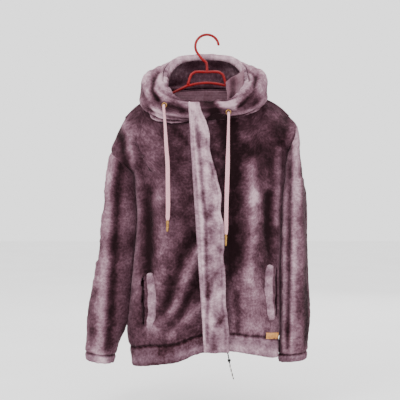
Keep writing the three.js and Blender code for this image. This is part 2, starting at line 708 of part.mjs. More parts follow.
function eyelet(side, { x, z }) {
  const { p, normal } = hoodFront(side, x, z);
  const ring = new THREE.TorusGeometry(eyeletRadius, eyeletThick, 8, 14);
  ring.applyQuaternion(new THREE.Quaternion().setFromUnitVectors(vec(0, 0, 1), normal));
  return ring.translate(...p.addScaledVector(normal, eyeletLift).toArray());
}

// The cord leaves its eyelet forwards, turns down and hangs.
function drawstringPath(side, { eyelet: at, route }) {
  const { p, normal } = hoodFront(side, at.x, at.z);
  const start = p.clone().addScaledVector(normal, eyeletLift + eyeletThick + cordThick / 2 + seamGap);
  const hang = route.map(q => vec(...q));
  const turn = vec(start.x, Math.min(start.y - 3, hang[0].y), start.z - 7);
  return new THREE.CatmullRomCurve3([start, turn, ...hang], false, 'centripetal');
}

function drawstring(side, cord) {
  return swept(drawstringPath(side, cord), 36, cordWidth / 2, cordThick / 2, 8, vec(1, 0, 0));
}

function drawstringTip(side, cord) {
  const [end, before] = [cord.route.at(-1), cord.route.at(-2)].map(q => vec(...q));
  const tube = new THREE.CylinderGeometry(tipRadius, tipRadius * 0.85, tipLength, 12, 1);
  const down = end.clone().sub(before).normalize();
  tube.applyQuaternion(new THREE.Quaternion().setFromUnitVectors(vec(0, -1, 0), down));
  return tube.translate(...end.clone().addScaledVector(down, tipLength / 2 + seamGap).toArray());
}

// ---- the model ----
const model = new THREE.Group();
const add = (name, geometry, material) => model.add(meshOf(name, geometry, material));

add('hanger_hook', hangerHook(), redPlastic);
add('hanger_loop', hangerLoop(), redPlastic);
add('hanger_bar', hangerBar(), redPlastic);
for (const [name, side] of Object.entries(sides)) {
  add(`hanger_${name}_arm`, hangerArm(side.sign), redPlastic);
  const pocket = pockets[name];
  add(`${name}_front`, cutBy(frontPanel(side), pocketSlot(side, pocket)), plush);
  add(`${name}_front_hem`, frontHem(side), plushTrim);
  add(`${name}_pocket_welt`, pocketWelt(side, pocket), plushTrim);
  add(`${name}_pocket_bag`, pocketBag(side, pocket), lining);
  add(`${name}_sleeve`, sleeve(side), plush);
  add(`${name}_cuff`, cuff(side), plushTrim);
  add(`${name}_hood_panel`, hoodPanel(side), plush);
  add(`${name}_hood_casing`, hoodCasing(side), plushTrim);
  const cord = drawstrings[name];
  add(`${name}_eyelet`, eyelet(side, cord.eyelet), brass);
  add(`${name}_drawstring`, drawstring(side, cord), braid);
  add(`${name}_drawstring_tip`, drawstringTip(side, cord), brass);
}
add('back', backPanel(), plush);
add('back_hem', backHem(), plushTrim);
add('back_neck_facing', neckFacing(), lining);
add('hem_label', hemLabel(), tanLeather);
add('front_flap', frontFlap(), plushTrim);
add('zip_pull_cord', zipPullCord(), blackCord);
add('zip_pull_knot', zipPullKnot(), blackCord);

for (const [name, side] of Object.entries(sides)) {
  zipFrame.add(meshOf(`${name}_zip_tape`, zipTape(side.sign), tapeCloth));
  zipFrame.add(meshOf(`${name}_zip_teeth`, zipTeeth(side.sign), zipPlastic));
}
zipFrame.add(meshOf('zip_slider', zipSlider().translate(0, 0, sliderRest), zipPlastic));
model.add(zipFrame);

export default model;
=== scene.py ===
import bpy
import numpy as np
from math import pi, radians
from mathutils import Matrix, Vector


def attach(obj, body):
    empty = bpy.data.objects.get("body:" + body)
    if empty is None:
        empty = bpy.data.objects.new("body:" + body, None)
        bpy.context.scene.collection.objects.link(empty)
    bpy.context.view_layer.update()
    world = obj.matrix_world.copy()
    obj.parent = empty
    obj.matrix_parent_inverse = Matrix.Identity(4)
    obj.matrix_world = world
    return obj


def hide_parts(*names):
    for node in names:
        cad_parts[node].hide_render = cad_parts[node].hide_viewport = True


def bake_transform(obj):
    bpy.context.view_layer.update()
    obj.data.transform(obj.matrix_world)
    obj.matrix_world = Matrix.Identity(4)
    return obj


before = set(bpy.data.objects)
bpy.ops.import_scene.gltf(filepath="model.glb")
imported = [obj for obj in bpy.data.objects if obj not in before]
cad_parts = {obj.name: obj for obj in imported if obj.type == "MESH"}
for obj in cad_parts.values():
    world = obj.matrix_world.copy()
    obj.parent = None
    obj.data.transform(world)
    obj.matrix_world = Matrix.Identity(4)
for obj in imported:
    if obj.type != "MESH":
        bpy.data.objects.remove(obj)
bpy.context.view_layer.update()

# Lengths are in millimetres up to meshFrom, which turns them to metres.

# ---- camera, light and floor ----
view = dict(distance=2200, x=-17.5, z=-410, width=1000)
cameraData = bpy.data.cameras.new("camera")
cameraData.sensor_width = 36
cameraData.lens = 36 * view["distance"] / view["width"]
camera = bpy.data.objects.new("camera", cameraData)
camera.location = (view["x"] / 1000, -view["distance"] / 1000, view["z"] / 1000)
camera.rotation_euler = (radians(90), 0, 0)
bpy.context.scene.collection.objects.link(camera)
bpy.context.scene.camera = camera

world = bpy.data.worlds.new("paleRoom")
world.use_nodes = True
bpy.context.scene.world = world
background = world.node_tree.nodes["Background"]
background.inputs["Color"].default_value = (1, 1, 1, 1)
background.inputs["Strength"].default_value = 1.9


# A soft square lamp that looks at the middle of the jacket.
def lamp(name, place, size, power, colour=(1, 1, 1)):
    data = bpy.data.lights.new(name, "AREA")
    data.size = size
    data.energy = power
    data.color = colour
    made = bpy.data.objects.new(name, data)
    made.location = place
    aim = Vector((0, 0, -0.42)) - Vector(place)
    made.rotation_euler = aim.to_track_quat("-Z", "Y").to_euler()
    bpy.context.scene.collection.objects.link(made)
    return made


lamp("keyLamp", (-1.3, -1.9, 1.1), 0.9, 27)
lamp("fillLamp", (1.9, -1.5, 0.1), 1.6, 5)
lamp("topLamp", (0.2, 0.3, 1.6), 1.2, 14)
lamp("backLamp", (0.9, 2.2, 0.6), 1.6, 16)


# ---- materials ----
# One colour channel by channel from its sRGB hex to linear light.
def colour(hexText):
    parts = [int(hexText[i:i + 2], 16) / 255 for i in (0, 2, 4)]
    linear = [c / 12.92 if c <= 0.04045 else ((c + 0.055) / 1.055) ** 2.4 for c in parts]
    return (*linear, 1)


def newMaterial(name):
    material = bpy.data.materials.new(name)
    material.use_nodes = True
    tree = material.node_tree
    return material, tree, tree.nodes["Principled BSDF"]


# A node with its settings and inputs; an input named _1 is the socket of that number.
def addNode(tree, kind, settings=None, **inputs):
    node = tree.nodes.new(kind)
    for key, value in (settings or {}).items():
        setattr(node, key, value)
    for key, value in inputs.items():
        socket = node.inputs[int(key[1:])] if key[0] == "_" else node.inputs[key]
        if isinstance(value, bpy.types.NodeSocket):
            tree.links.new(value, socket)
        else:
            socket.default_value = value
    return node


def setShader(shader, **constants):
    for key, value in constants.items():
        shader.inputs[key.replace("_", " ")].default_value = value


def uvOf(tree):
    return addNode(tree, "ShaderNodeUVMap").outputs["UV"]


def objectPlace(tree):
    return addNode(tree, "ShaderNodeTexCoord").outputs["Object"]


def toneOf(tree):
    return addNode(tree, "ShaderNodeAttribute", {"attribute_name": "tone"}).outputs["Fac"]


# Soft noise with lumps about `size` millimetres across.
def noise(tree, place, size, detail=2.0):
    node = addNode(tree, "ShaderNodeTexNoise", Vector=place, Scale=1000 / size, Detail=detail)
    return node.outputs["Fac"]


def maths(tree, operation, *values):
    inputs = {f"_{k}": value for k, value in enumerate(values)}
    return addNode(tree, "ShaderNodeMath", {"operation": operation}, **inputs).outputs[0]


# Base colour from a ramp of (place, sRGB hex).
def paint(tree, shader, value, stops):
    node = addNode(tree, "ShaderNodeValToRGB", Fac=value)
    band = node.color_ramp
    while len(band.elements) < len(stops):
        band.elements.new(0.5)
    for element, (place, hexText) in zip(band.elements, stops):
        element.position = place
        element.color = colour(hexText)
    tree.links.new(node.outputs["Color"], shader.inputs["Base Color"])


# Fine relief, `height` millimetres deep.
def emboss(tree, shader, value, strength, height):
    raised = addNode(tree, "ShaderNodeBump", Height=value, Strength=strength, Distance=height / 1000)
    tree.links.new(raised.outputs["Normal"], shader.inputs["Normal"])


# Roughness that wanders from low to high with a noise.
def wear(tree, shader, value, low, high):
    spread = addNode(tree, "ShaderNodeMapRange", _0=value, _3=low, _4=high)
    tree.links.new(spread.outputs[0], shader.inputs["Roughness"])


# Knitted pile cloth, brushed one way. Its colour follows the tone attribute: painted shade in the fold
# valleys and seams, painted light on the ridges, and patches that differ at random, with clouds of pressed
# pile about 24 mm and 6 mm wide and single tufts of about 1.6 mm.
def pileCloth(name, stops, bump=0.6, sheen=0.32, strength=1.0):
    material, tree, shader = newMaterial(name)
    place = uvOf(tree)
    total = maths(tree, "MULTIPLY_ADD", toneOf(tree), 0.78, 0.44)
    for size, share in ((24, 0.36), (6, 0.42), (1.6, 0.46)):
        share = share * strength
        spread = maths(tree, "MULTIPLY_ADD", noise(tree, place, size), share, -0.5 * share)
        total = maths(tree, "ADD", total, spread)
    paint(tree, shader, total, stops)
    tufts = noise(tree, place, 1.8, 3.0)
    patches = noise(tree, place, 6, 1.0)
    emboss(tree, shader, maths(tree, "ADD", tufts, patches), bump, 1.6)
    setShader(shader, Roughness=0.92, Sheen_Weight=sheen, Sheen_Roughness=0.35,
              Sheen_Tint=colour("c39aa8"), Specular_IOR_Level=0.12)
    return material


plush = pileCloth("flannelFleecePile", [
    (0.02, "150509"), (0.26, "331c24"), (0.48, "533742"), (0.70, "795b67"), (0.98, "b0929d")])
plushTrim = pileCloth("flannelFleecePileTrim", [
    (0.02, "1a070b"), (0.24, "3f242d"), (0.48, "644955"), (0.72, "8d707c"), (0.98, "bfa2ac")])
lining = pileCloth("brushedKnitLining", [
    (0.02, "1e0a10"), (0.3, "452832"), (0.6, "6f4f5a"), (0.98, "9d7d88")], bump=0.25, sheen=0.3,
    strength=0.7)


# Woven polyester zip tape: a fine rib every 1.2 mm along the tape.
def wovenTape():
    material, tree, shader = newMaterial("wovenPolyesterTape")
    rib = addNode(tree, "ShaderNodeTexWave", {"bands_direction": "Y"}, Vector=uvOf(tree),
                  Scale=1000 / 1.2 / 20, Distortion=0.4).outputs["Fac"]
    paint(tree, shader, rib, [(0, "2d1a20"), (1, "50343d")])
    emboss(tree, shader, rib, 0.4, 0.4)
    setShader(shader, Roughness=0.8, Specular_IOR_Level=0.2)
    return material


# Injection-moulded plastic: nearly even colour, faint flow clouds and a fine grain.
def mouldedPlastic(name, low, high, roughness, coat, cloud=30):
    material, tree, shader = newMaterial(name)
    place = objectPlace(tree)
    clouds = noise(tree, place, cloud, 3.0)
    paint(tree, shader, clouds, [(0.3, low), (0.75, high)])
    emboss(tree, shader, noise(tree, place, 1.5), 0.05, 0.3)
    wear(tree, shader, clouds, roughness - 0.06, roughness + 0.1)
    setShader(shader, Coat_Weight=coat, Coat_Roughness=0.12, Specular_IOR_Level=0.25)
    return material


# Flat tubular braid: V-shaped stitches about 1.6 mm apart along the cord.
def braidedCotton():
    material, tree, shader = newMaterial("flatCottonBraid")
    place = uvOf(tree)
    split = addNode(tree, "ShaderNodeSeparateXYZ", Vector=place)
    slant = maths(tree, "ADD", maths(tree, "ABSOLUTE", split.outputs["X"]), split.outputs["Y"])
    stitch = maths(tree, "SINE", maths(tree, "MULTIPLY", slant, 2 * pi * 1000 / 1.6))
    mixed = maths(tree, "MULTIPLY_ADD", stitch, 0.22, noise(tree, place, 0.8))
    paint(tree, shader, mixed, [(0.15, "8a5560"), (0.5, "d69ca7"), (0.9, "f1c6cd")])
    emboss(tree, shader, mixed, 0.6, 0.5)
    setShader(shader, Roughness=0.85, Sheen_Weight=0.2, Specular_IOR_Level=0.15)
    return material


# Twisted cord in two yarns, black and off-white where the tone attribute is high.
def twistedCord():
    material, tree, shader = newMaterial("twistedTwoYarnCord")
    fibre = noise(tree, uvOf(tree), 0.7)
    mixed = maths(tree, "MULTIPLY_ADD", fibre, 0.3, toneOf(tree))
    paint(tree, shader, mixed, [(0.1, "060506"), (0.55, "1d1a1d"), (0.75, "d8d2cc")])
    emboss(tree, shader, fibre, 0.5, 0.4)
    setShader(shader, Roughness=0.75, Specular_IOR_Level=0.2)
    return material


# Stamped metal with a thin brass plating, tarnished in soft clouds about 4 mm wide.
def platedBrass():
    material, tree, shader = newMaterial("platedBrass")
    tarnish = noise(tree, objectPlace(tree), 4, 4.0)
    paint(tree, shader, tarnish, [(0.3, "7b5227"), (0.7, "c79c5c")])
    wear(tree, shader, tarnish, 0.42, 0.24)
    setShader(shader, Metallic=1.0)
    return material


# Cut tan leather, grain cells about 1.3 mm wide.
def tanLeather():
    material, tree, shader = newMaterial("cutTanLeather")
    place = uvOf(tree)
    cells = addNode(tree, "ShaderNodeTexVoronoi", Vector=place, Scale=1000 / 1.3).outputs["Distance"]
    paint(tree, shader, noise(tree, place, 9, 3.0), [(0.3, "a86a2e"), (0.75, "d49a58")])
    emboss(tree, shader, cells, 0.35, 0.4)
    setShader(shader, Roughness=0.55)
    return material


# Matt pale floor paint with very faint clouds half a metre wide.
def floorPaint():
    material, tree, shader = newMaterial("paleFloorPaint")
    paint(tree, shader, noise(tree, objectPlace(tree), 500), [(0.2, "f2f1f1"), (0.8, "f8f8f8")])
    setShader(shader, Roughness=0.9, Specular_IOR_Level=0.1)
    return material


redPlastic = mouldedPlastic("mouldedRedPlastic", "6e0006", "8c0208", 0.3, 0.0)
zipPlastic = mouldedPlastic("mouldedZipPlastic", "33232a", "4b363f", 0.45, 0.1, cloud=6)
braid = braidedCotton()
pullYarn = twistedCord()
brass = platedBrass()
leather = tanLeather()
wovenZipTape = wovenTape()

floorMesh = bpy.data.meshes.new("floor")
reach, floorLevel = 9.0, -0.93
floorCorners = [(-reach, -reach), (reach, -reach), (reach, reach), (-reach, reach)]
floorMesh.from_pydata([(x, y, floorLevel) for x, y in floorCorners], [], [(0, 1, 2, 3)])
floor = bpy.data.objects.new("floor", floorMesh)
floor.data.materials.append(floorPaint())
bpy.context.scene.collection.objects.link(floor)
print("stage and materials made")


# ---- meshes ----
# Smooth noise from -1 to 1 over (a, b), with lumps about `size` across.
def lumps(a, b, size, seed):
    table = np.random.default_rng(seed).random((64, 64)) * 2 - 1
    x, y = a / size + 700, b / size + 700
    i, j = np.floor(x).astype(int), np.floor(y).astype(int)
    f, g = x - i, y - j
    f, g = f * f * (3 - 2 * f), g * g * (3 - 2 * g)
    at = lambda p, q: table[p % 64, q % 64]
    low = at(i, j) * (1 - f) + at(i + 1, j) * f
    high = at(i, j + 1) * (1 - f) + at(i + 1, j + 1) * f
    return low * (1 - g) + high * g


def unit(a):
    return a / np.maximum(np.linalg.norm(a, axis=-1, keepdims=True), 1e-9)


def lerp(a, b, t):
    return a + (b - a) * t


# A smooth curve through (t, value) pairs, level beyond its ends.
def through(pairs):
    t, y = (np.array(column, float) for column in zip(*pairs))
    slope = np.zeros(len(t))
    slope[1:-1] = (y[2:] - y[:-2]) / (t[2:] - t[:-2])

    def curve(x):
        x = np.clip(x, t[0], t[-1])
        i = np.clip(np.searchsorted(t, x, side="right") - 1, 0, len(t) - 2)
        run = t[i + 1] - t[i]
        f = (x - t[i]) / run
        g = 1 - f
        return (y[i] * g * g * (1 + 2 * f) + y[i + 1] * f * f * (3 - 2 * f)
                + slope[i] * run * f * g * g - slope[i + 1] * run * f * f * g)
    return curve


# Points in millimetres, quads and triangles by index, UVs in millimetres and a tone for each point.
# Faces that enclose a negative volume are turned round.
def meshFrom(name, points, quads, tris=None, uv=None, tone=None):
    points = np.asarray(points, float).reshape(-1, 3)
    faces = [quads] if tris is None else [quads, tris]
    corners = [points[part] for part in faces]
    volume = sum(float(np.einsum("ij,ij->i", c[:, 0], np.cross(c[:, i], c[:, i + 1])).sum())
                 for c in corners for i in range(1, c.shape[1] - 1))
    if volume < 0:
        faces = [part[:, ::-1] for part in faces]
    loops = np.concatenate([part.reshape(-1) for part in faces])
    totals = np.concatenate([np.full(len(part), part.shape[1]) for part in faces])
    mesh = bpy.data.meshes.new(name)
    mesh.vertices.add(len(points))
    mesh.vertices.foreach_set("co", (points / 1000).astype(np.float32).ravel())
    mesh.loops.add(len(loops))
    mesh.loops.foreach_set("vertex_index", loops.astype(np.int32))
    mesh.polygons.add(len(totals))
    mesh.polygons.foreach_set("loop_start", np.concatenate([[0], np.cumsum(totals)[:-1]]).astype(np.int32))
    mesh.polygons.foreach_set("use_smooth", np.ones(len(totals), bool))
    mesh.update(calc_edges=True)
    if uv is not None:
        layer = mesh.uv_layers.new(name="UVMap")
        atLoops = np.asarray(uv).reshape(-1, 2)[loops] / 1000
        layer.data.foreach_set("uv", atLoops.astype(np.float32).ravel())
    if tone is not None:
        attribute = mesh.attributes.new("tone", "FLOAT", "POINT")
        attribute.data.foreach_set("value", np.asarray(tone, np.float32).ravel())
    made = bpy.data.objects.new(name, mesh)
    bpy.context.scene.collection.objects.link(made)
    return made


def finishPiece(made, material, body, replaced):
    made.data.materials.append(material)
    if replaced:
        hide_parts(*replaced)
    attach(made, body)
    return made


def gridQuads(rows, columns, wrap):
    i = np.arange(columns if wrap else columns - 1)
    j = np.arange(rows - 1)
    a = (j[:, None] * columns + i).ravel()
    b = (j[:, None] * columns + (i + 1) % columns).ravel()
    return np.stack([a, b, b + columns, a + columns], 1)


# The normal of a grid of points, facing `side`.
def gridNormals(points, side, wrap):
    if wrap:
        along = np.roll(points, -1, 1) - np.roll(points, 1, 1)
    else:
        along = np.gradient(points, axis=1)
    fall = np.gradient(points, axis=0)
    return unit(np.cross(along, fall)) * side


# Length along a grid's rows and columns, for UVs in millimetres.
def gridUV(points):
    across = np.linalg.norm(np.diff(points, axis=1), axis=2).mean(0)
    down = np.linalg.norm(np.diff(points, axis=0), axis=2).mean(1)
    u = np.concatenate([[0], np.cumsum(across)])
    v = np.concatenate([[0], np.cumsum(down)])
    return np.stack(np.meshgrid(u, v), -1)


# A cloth panel with thickness and soft rolled edges: its outer face is points plus normal times
# lift, its inner face lies `thick` behind, and a middle row bulges out round every edge.
def clothPanel(name, points, thick, side, lift=0, tone=0, wrap=False, seed=1, roll=0.45):
    rows, columns = points.shape[:2]
    normal = gridNormals(points, side, wrap)
    lift = np.broadcast_to(lift, (rows, columns))
    tone = np.broadcast_to(tone, (rows, columns))
    uv = gridUV(points) + 1000 * (seed % 17)
    outer = points + normal * lift[..., None]
    bent = gridNormals(outer, side, wrap)
    inner = outer - bent * thick
    count = rows * columns
    quads = [gridQuads(rows, columns, wrap), gridQuads(rows, columns, wrap)[:, ::-1] + count]
    index = np.arange(count).reshape(rows, columns)
    if wrap:
        loops = [(index[0], index[1]), (index[-1][::-1], index[-2][::-1])]
    else:
        ring = np.concatenate([index[0, :-1], index[:-1, -1], index[-1, :0:-1], index[:0:-1, 0]])
        r, c = np.divmod(ring, columns)
        loops = [(ring, index[np.clip(r, 1, rows - 2), np.clip(c, 1, columns - 2)])]
    allPoints = [outer.reshape(-1, 3), inner.reshape(-1, 3)]
    allUV = [uv.reshape(-1, 2), uv.reshape(-1, 2)]
    # The inner face takes the tone 0.15 lower: painted shade on the inside of the cloth.
    allTone = [tone.ravel(), tone.ravel() - 0.15]
    base = 2 * count
    for edge, inside in loops:
        o, n = outer.reshape(-1, 3)[edge], inner.reshape(-1, 3)[edge]
        out = unit(o - outer.reshape(-1, 3)[inside])
        for share, bulge in ((0.22, 0.75), (0.5, 1.0), (0.78, 0.75)):
            allPoints.append(lerp(o, n, share) + out * thick * roll * bulge)
            allUV.append(uv.reshape(-1, 2)[edge])
            allTone.append(tone.ravel()[edge])
        size = len(edge)
        middles = [base + k * size + np.arange(size) for k in range(3)]
        chain = [edge, *middles, edge + count]
        for a, b in zip(chain[:-1], chain[1:]):
            quads.append(np.stack([np.roll(a, -1), a, b, np.roll(b, -1)], 1))
        base += 3 * size
    return meshFrom(name, np.concatenate(allPoints), np.concatenate(quads), uv=np.concatenate(allUV),
                    tone=np.concatenate(allTone))


# Length along a path up to each of its points.
def runAlong(path):
    return np.concatenate([[0], np.cumsum(np.linalg.norm(np.diff(path, axis=0), axis=1))])


# A section carried along a path, with round ends. half and deep may vary along it.
def sweptTube(name, path, half, deep, sides=20, wide=(1, 0, 0), ring=None, tone=None, caps=6, closed=False):
    path = np.asarray(path, float)
    n = len(path)
    half, deep = np.broadcast_to(half, n).astype(float), np.broadcast_to(deep, n).astype(float)
    step = np.roll(path, -1, 0) - np.roll(path, 1, 0) if closed else np.gradient(path, axis=0)
    tangent = unit(step)
    across = np.zeros((n, 3))
    last = np.array(wide, float)
    for k in range(n):
        last = last - tangent[k] * (last @ tangent[k])
        last /= np.linalg.norm(last)
        across[k] = last
    behind = np.cross(tangent, across)
    angle = np.linspace(0, 2 * pi, sides, endpoint=False)
    swell = np.ones((n, sides)) if ring is None else ring
    if not closed and caps:
        k = np.sin(np.linspace(0.12, pi / 2 - 0.05, caps))
        scale = np.sqrt(1 - k ** 2)
        grow = lambda a, s: np.concatenate([a[:1] * s[::-1], a, a[-1:] * s])
        before = (k * min(half[0], deep[0]))[::-1, None]
        after = (k * min(half[-1], deep[-1]))[:, None]
        path = np.concatenate([path[:1] - tangent[:1] * before, path, path[-1:] + tangent[-1:] * after])
        half, deep = grow(half, scale), grow(deep, scale)
        pad = lambda a: np.concatenate([np.repeat(a[:1], caps, 0), a, np.repeat(a[-1:], caps, 0)])
        across, behind, swell = pad(across), pad(behind), pad(swell)
        tone = None if tone is None else pad(tone)
        n = len(path)
    rings = (path[:, None] + across[:, None] * (half[:, None] * np.cos(angle) * swell)[..., None]
             + behind[:, None] * (deep[:, None] * np.sin(angle) * swell)[..., None])
    quads = gridQuads(n, sides, True)
    points = rings.reshape(-1, 3)
    run = runAlong(path)
    uv = np.stack([np.cos(angle)[None] * half[:, None], np.repeat(run[:, None], sides, 1)], -1)
    uv = uv.reshape(-1, 2)
    tris = None
    if closed:
        last = np.arange(sides) + (n - 1) * sides
        first = np.arange(sides)
        quads = np.concatenate([quads, np.stack([last, np.roll(last, -1), np.roll(first, -1), first], 1)])
    else:
        ends = np.array([rings[0].mean(0), rings[-1].mean(0)])
        top, low = len(points), len(points) + 1
        first = np.arange(sides)
        last = first + (n - 1) * sides
        tris = np.concatenate([
            np.stack([np.full(sides, top), np.roll(first, -1), first], 1),
            np.stack([np.full(sides, low), last, np.roll(last, -1)], 1)])
        points = np.concatenate([points, ends])
        uv = np.concatenate([uv, [[0, run[0]], [0, run[-1]]]])
    if tone is None:
        tone = np.zeros((n, sides))
    flat = tone.ravel()
    if not closed:
        flat = np.concatenate([flat, [flat[0], flat[-1]]])
    return meshFrom(name, points, quads, tris, uv, flat)


# A centripetal spline through stations (k, ..., 3), read at places t from 0 to 1.
def splineThrough(stations, t):
    stations = np.asarray(stations, float)
    k = len(stations)
    before, after = 2 * stations[:1] - stations[1:2], 2 * stations[-1:] - stations[-2:-1]
    padded = np.concatenate([before, stations, after])
    gap = np.maximum(np.linalg.norm(np.diff(padded, axis=0), axis=-1, keepdims=True) ** 0.5, 1e-3)
    out = []
    for place in np.asarray(t, float) * (k - 1):
        i = min(int(place), k - 2)
        f = place - i
        p0, p1, p2, p3 = padded[i:i + 4]
        d0, d1, d2 = gap[i:i + 3]
        m1 = ((p1 - p0) / d0 - (p2 - p0) / (d0 + d1) + (p2 - p1) / d1) * d1
        m2 = ((p2 - p1) / d1 - (p3 - p1) / (d1 + d2) + (p3 - p2) / d2) * d1
        out.append((2 * f ** 3 - 3 * f ** 2 + 1) * p1 + (f ** 3 - 2 * f ** 2 + f) * m1
                   + (-2 * f ** 3 + 3 * f ** 2) * p2 + (f ** 3 - f ** 2) * m2)
    return np.array(out)


# 1 at no distance, falling off over `width`.
def bell(distance, width):
    return np.exp(-(distance / width) ** 2)


# Ridges and grooves drawn as strokes: (points in x and z, half-width, height, tone). The nearest
# distance to each stroke, made a little ragged, gives a bell-shaped ridge across it.
def strokes(x, z, drawn):
    height, tone = np.zeros_like(x), np.zeros_like(x)
    ragged = lumps(x, z, 23, 5) + 0.7 * lumps(x, z, 9, 6)
    for points, width, rise, shade in drawn:
        points = np.array(points, float)
        near = np.full(x.shape, 1e9)
        for (ax, az), (bx, bz) in zip(points[:-1], points[1:]):
            length = max((bx - ax) ** 2 + (bz - az) ** 2, 1e-6)
            f = np.clip(((x - ax) * (bx - ax) + (z - az) * (bz - az)) / length, 0, 1)
            near = np.minimum(near, np.hypot(x - ax - f * (bx - ax), z - az - f * (bz - az)))
        near = np.maximum(near + 0.32 * width * ragged, 0)
        height += rise * bell(near, width)
        # Each stroke's tone is painted light along a ridge and painted shade along a groove.
        tone += shade * bell(near, width)
    return height, tone


def smoothStep(low, high, x):
    f = np.clip((x - low) / (high - low), 0, 1)
    return f * f * (3 - 2 * f)


# ---- the cords, in front of everything else ----
# Each flat drawstring leaves its eyelet forwards, turns down and hangs: its spline's stations.
drawstrings = {
    "right": dict(stations=[(-104.52, -78.37, -181.04), (-104.52, -88, -188.04), (-101.5, -88, -226),
                            (-98.5, -88, -280), (-95.5, -87, -322), (-94.8, -86, -372),
                            (-94.4, -85, -424), (-95.5, -84, -464)], seed=3),
    "left": dict(stations=[(51.29, -80.41, -199.14), (51.29, -90, -206.14), (50.5, -90, -250),
                           (49, -90, -322), (47, -90, -385), (45.5, -89, -440), (44.4, -88, -498)], seed=4),
}
cordSize = dict(width=10, tipRadius=3.4)


# The braid is gathered narrow in its eyelet, opens out flat below and turns a little as it hangs.
def drawstring(name, stations, seed):
    path = splineThrough(stations, np.linspace(0, 1, 190))
    run = runAlong(path)
    length = run[-1]
    opened, gathered = smoothStep(20, 150, run), smoothStep(length - 14, length, run)
    half = cordSize["width"] / 2 * lerp(0.62, 1.0, opened) * (1 + 0.05 * lumps(run, run, 30, seed))
    half = half * lerp(1, 0.55, gathered)
    deep = lerp(2.3, 1.5, opened) + 0.8 * gathered
    sides = 24
    angle = np.linspace(0, 2 * pi, sides, endpoint=False)
    crease = 1 - 0.25 * np.abs(np.sin(angle)) ** 6 * smoothStep(60, 140, run)[:, None]
    made = sweptTube(f"{name}Drawstring", path, half, deep, sides, ring=crease, caps=3)
    finishPiece(made, braid, f"{name}_drawstring", [f"{name}_drawstring"])
    down = unit(path[-1] - path[-2])
    at = np.array([-3, -1, 0, 3, 6, 17, 19, 20.5])
    radius = cordSize["tipRadius"] * np.array([1.0, 1.12, 1.12, 1.0, 0.98, 0.9, 0.86, 0.7])
    tip = sweptTube(f"{name}DrawstringTip", path[-1] + at[:, None] * down, radius, radius, 24, caps=3)
    finishPiece(tip, brass, f"{name}_drawstring", [f"{name}_drawstring_tip"])
    return length


# The knotted pull: one twisted cord from the slider's bridge, with its knot a bit past half way.
pull = dict(stations=[(41, -88, -757), (42.5, -88.8, -761), (45, -89.4, -766), (48, -90, -774),
                      (50.5, -90.4, -784), (52, -90.7, -793), (53.5, -91, -802), (55.5, -91.3, -812),
                      (58, -91.6, -821), (60.3, -91.9, -830), (62.5, -92.2, -838)],
            radius=1.6, knotAt=0.52)


def zipPull():
    path = splineThrough(pull["stations"], np.linspace(0, 1, 150))
    run = runAlong(path)
    sides = 20
    angle = np.linspace(0, 2 * pi, sides, endpoint=False)
    twist = angle[None] - run[:, None] * 2 * pi / 11
    below = smoothStep(0.54, 0.57, run / run[-1])[:, None]
    ring = 0.93 + 0.1 * np.cos(2 * twist)
    yarn = 0.8 * below * (np.cos(twist) > 0.25)
    radius = pull["radius"]
    made = sweptTube("zipPullCord", path, radius, radius, sides, ring=ring, tone=yarn, caps=4)
    finishPiece(made, pullYarn, "zip_pull", ["zip_pull_cord"])
    k = int(pull["knotAt"] * (len(path) - 1))
    forward = unit(path[k + 1] - path[k - 1])
    side = unit(np.cross(forward, (0, 1, 0)))
    other = np.cross(forward, side)
    t = np.linspace(0, 2 * pi, 90, endpoint=False)
    turn = np.cos(2 * t)[:, None] * side + np.sin(2 * t)[:, None] * other
    out, up = 2.5 + 0.5 * np.cos(3 * t), 1.9 * np.sin(3 * t)
    knotPath = path[k] + turn * out[:, None] + forward * up[:, None]
    knot = sweptTube("zipPullKnot", knotPath, 1.25, 1.25, 12, wide=forward, closed=True)
    finishPiece(knot, pullYarn, "zip_pull", ["zip_pull_knot"])


cordLengths = {name: drawstring(name, **spec) for name, spec in drawstrings.items()}
zipPull()
print("cords made", cordLengths)

# ---- outlines of the body ----
cloth = 4.5
seamGap = 0.6
halfSeam = 0.3
body = dict(halfWidth=185, length=620, neckCentre=-12.5, neckHalf=147.5, frontTop=62, frontHem=84,
            backTop=38, backHem=60, shoulderFade=100, armholeDepth=42, hemHeight=44)
panelWidth = 190
zipTop, zipBottom, zipGapHalf, sliderRoom = (-5, -226), (40, -757), 7, 1.4
sides = {
    "right": dict(
        sign=-1, tipZ=-192, neckZ=-165, armholeTop=98, underarm=148, awayFrom=0.68,
        outset=through([(0, 23), (31, 31), (62, 43), (98, 53), (148, 3), (187, -4), (268, -9), (374, 0),
                        (498, 12), (542, 15), (620, 3)]),
        pose=[(40, 32, 3), (145, 39, 7), (215, 42, 3), (287, 43, 5), (370, 46, 6), (432, 41, 27),
              (468, 36, 43)]),
    "left": dict(
        sign=1, tipZ=-187, neckZ=-152, armholeTop=38, underarm=98, awayFrom=1.2,
        outset=through([(0, 23), (38, 40), (98, 20), (183, 10), (238, 5), (398, -3), (548, -3), (610, -6)]),
        pose=[(66, 20, 3), (140, 28, 3), (337, 36, 3), (415, 37, 4), (472, 34, 6), (520, 34, 3)]),
}
neckFront = through([(-1, -165), (-0.94, -187), (-0.84, -206), (-0.66, -224), (-0.37, -227), (-0.03, -218),
                     (0.22, -208), (0.46, -200), (0.73, -190), (0.88, -172), (1, -152)])
neckBack = through([(-1, -165), (-0.7, -143), (0, -131), (0.7, -136), (1, -152)])
hemCurve = through([(-1, -818), (-0.75, -812), (-0.4, -800), (-0.1, -778), (0.25, -772),
                    (0.6, -782), (1, -797)])


def hemZ(x):
    return hemCurve(x / body["halfWidth"])


def zipX(z):
    return lerp(zipTop[0], zipBottom[0], (z - zipTop[1]) / (zipBottom[1] - zipTop[1]))


def edgeX(side, drop):
    return side["sign"] * (body["halfWidth"] + side["outset"](drop))


def neckShare(x):
    return (x - body["neckCentre"]) / body["neckHalf"]


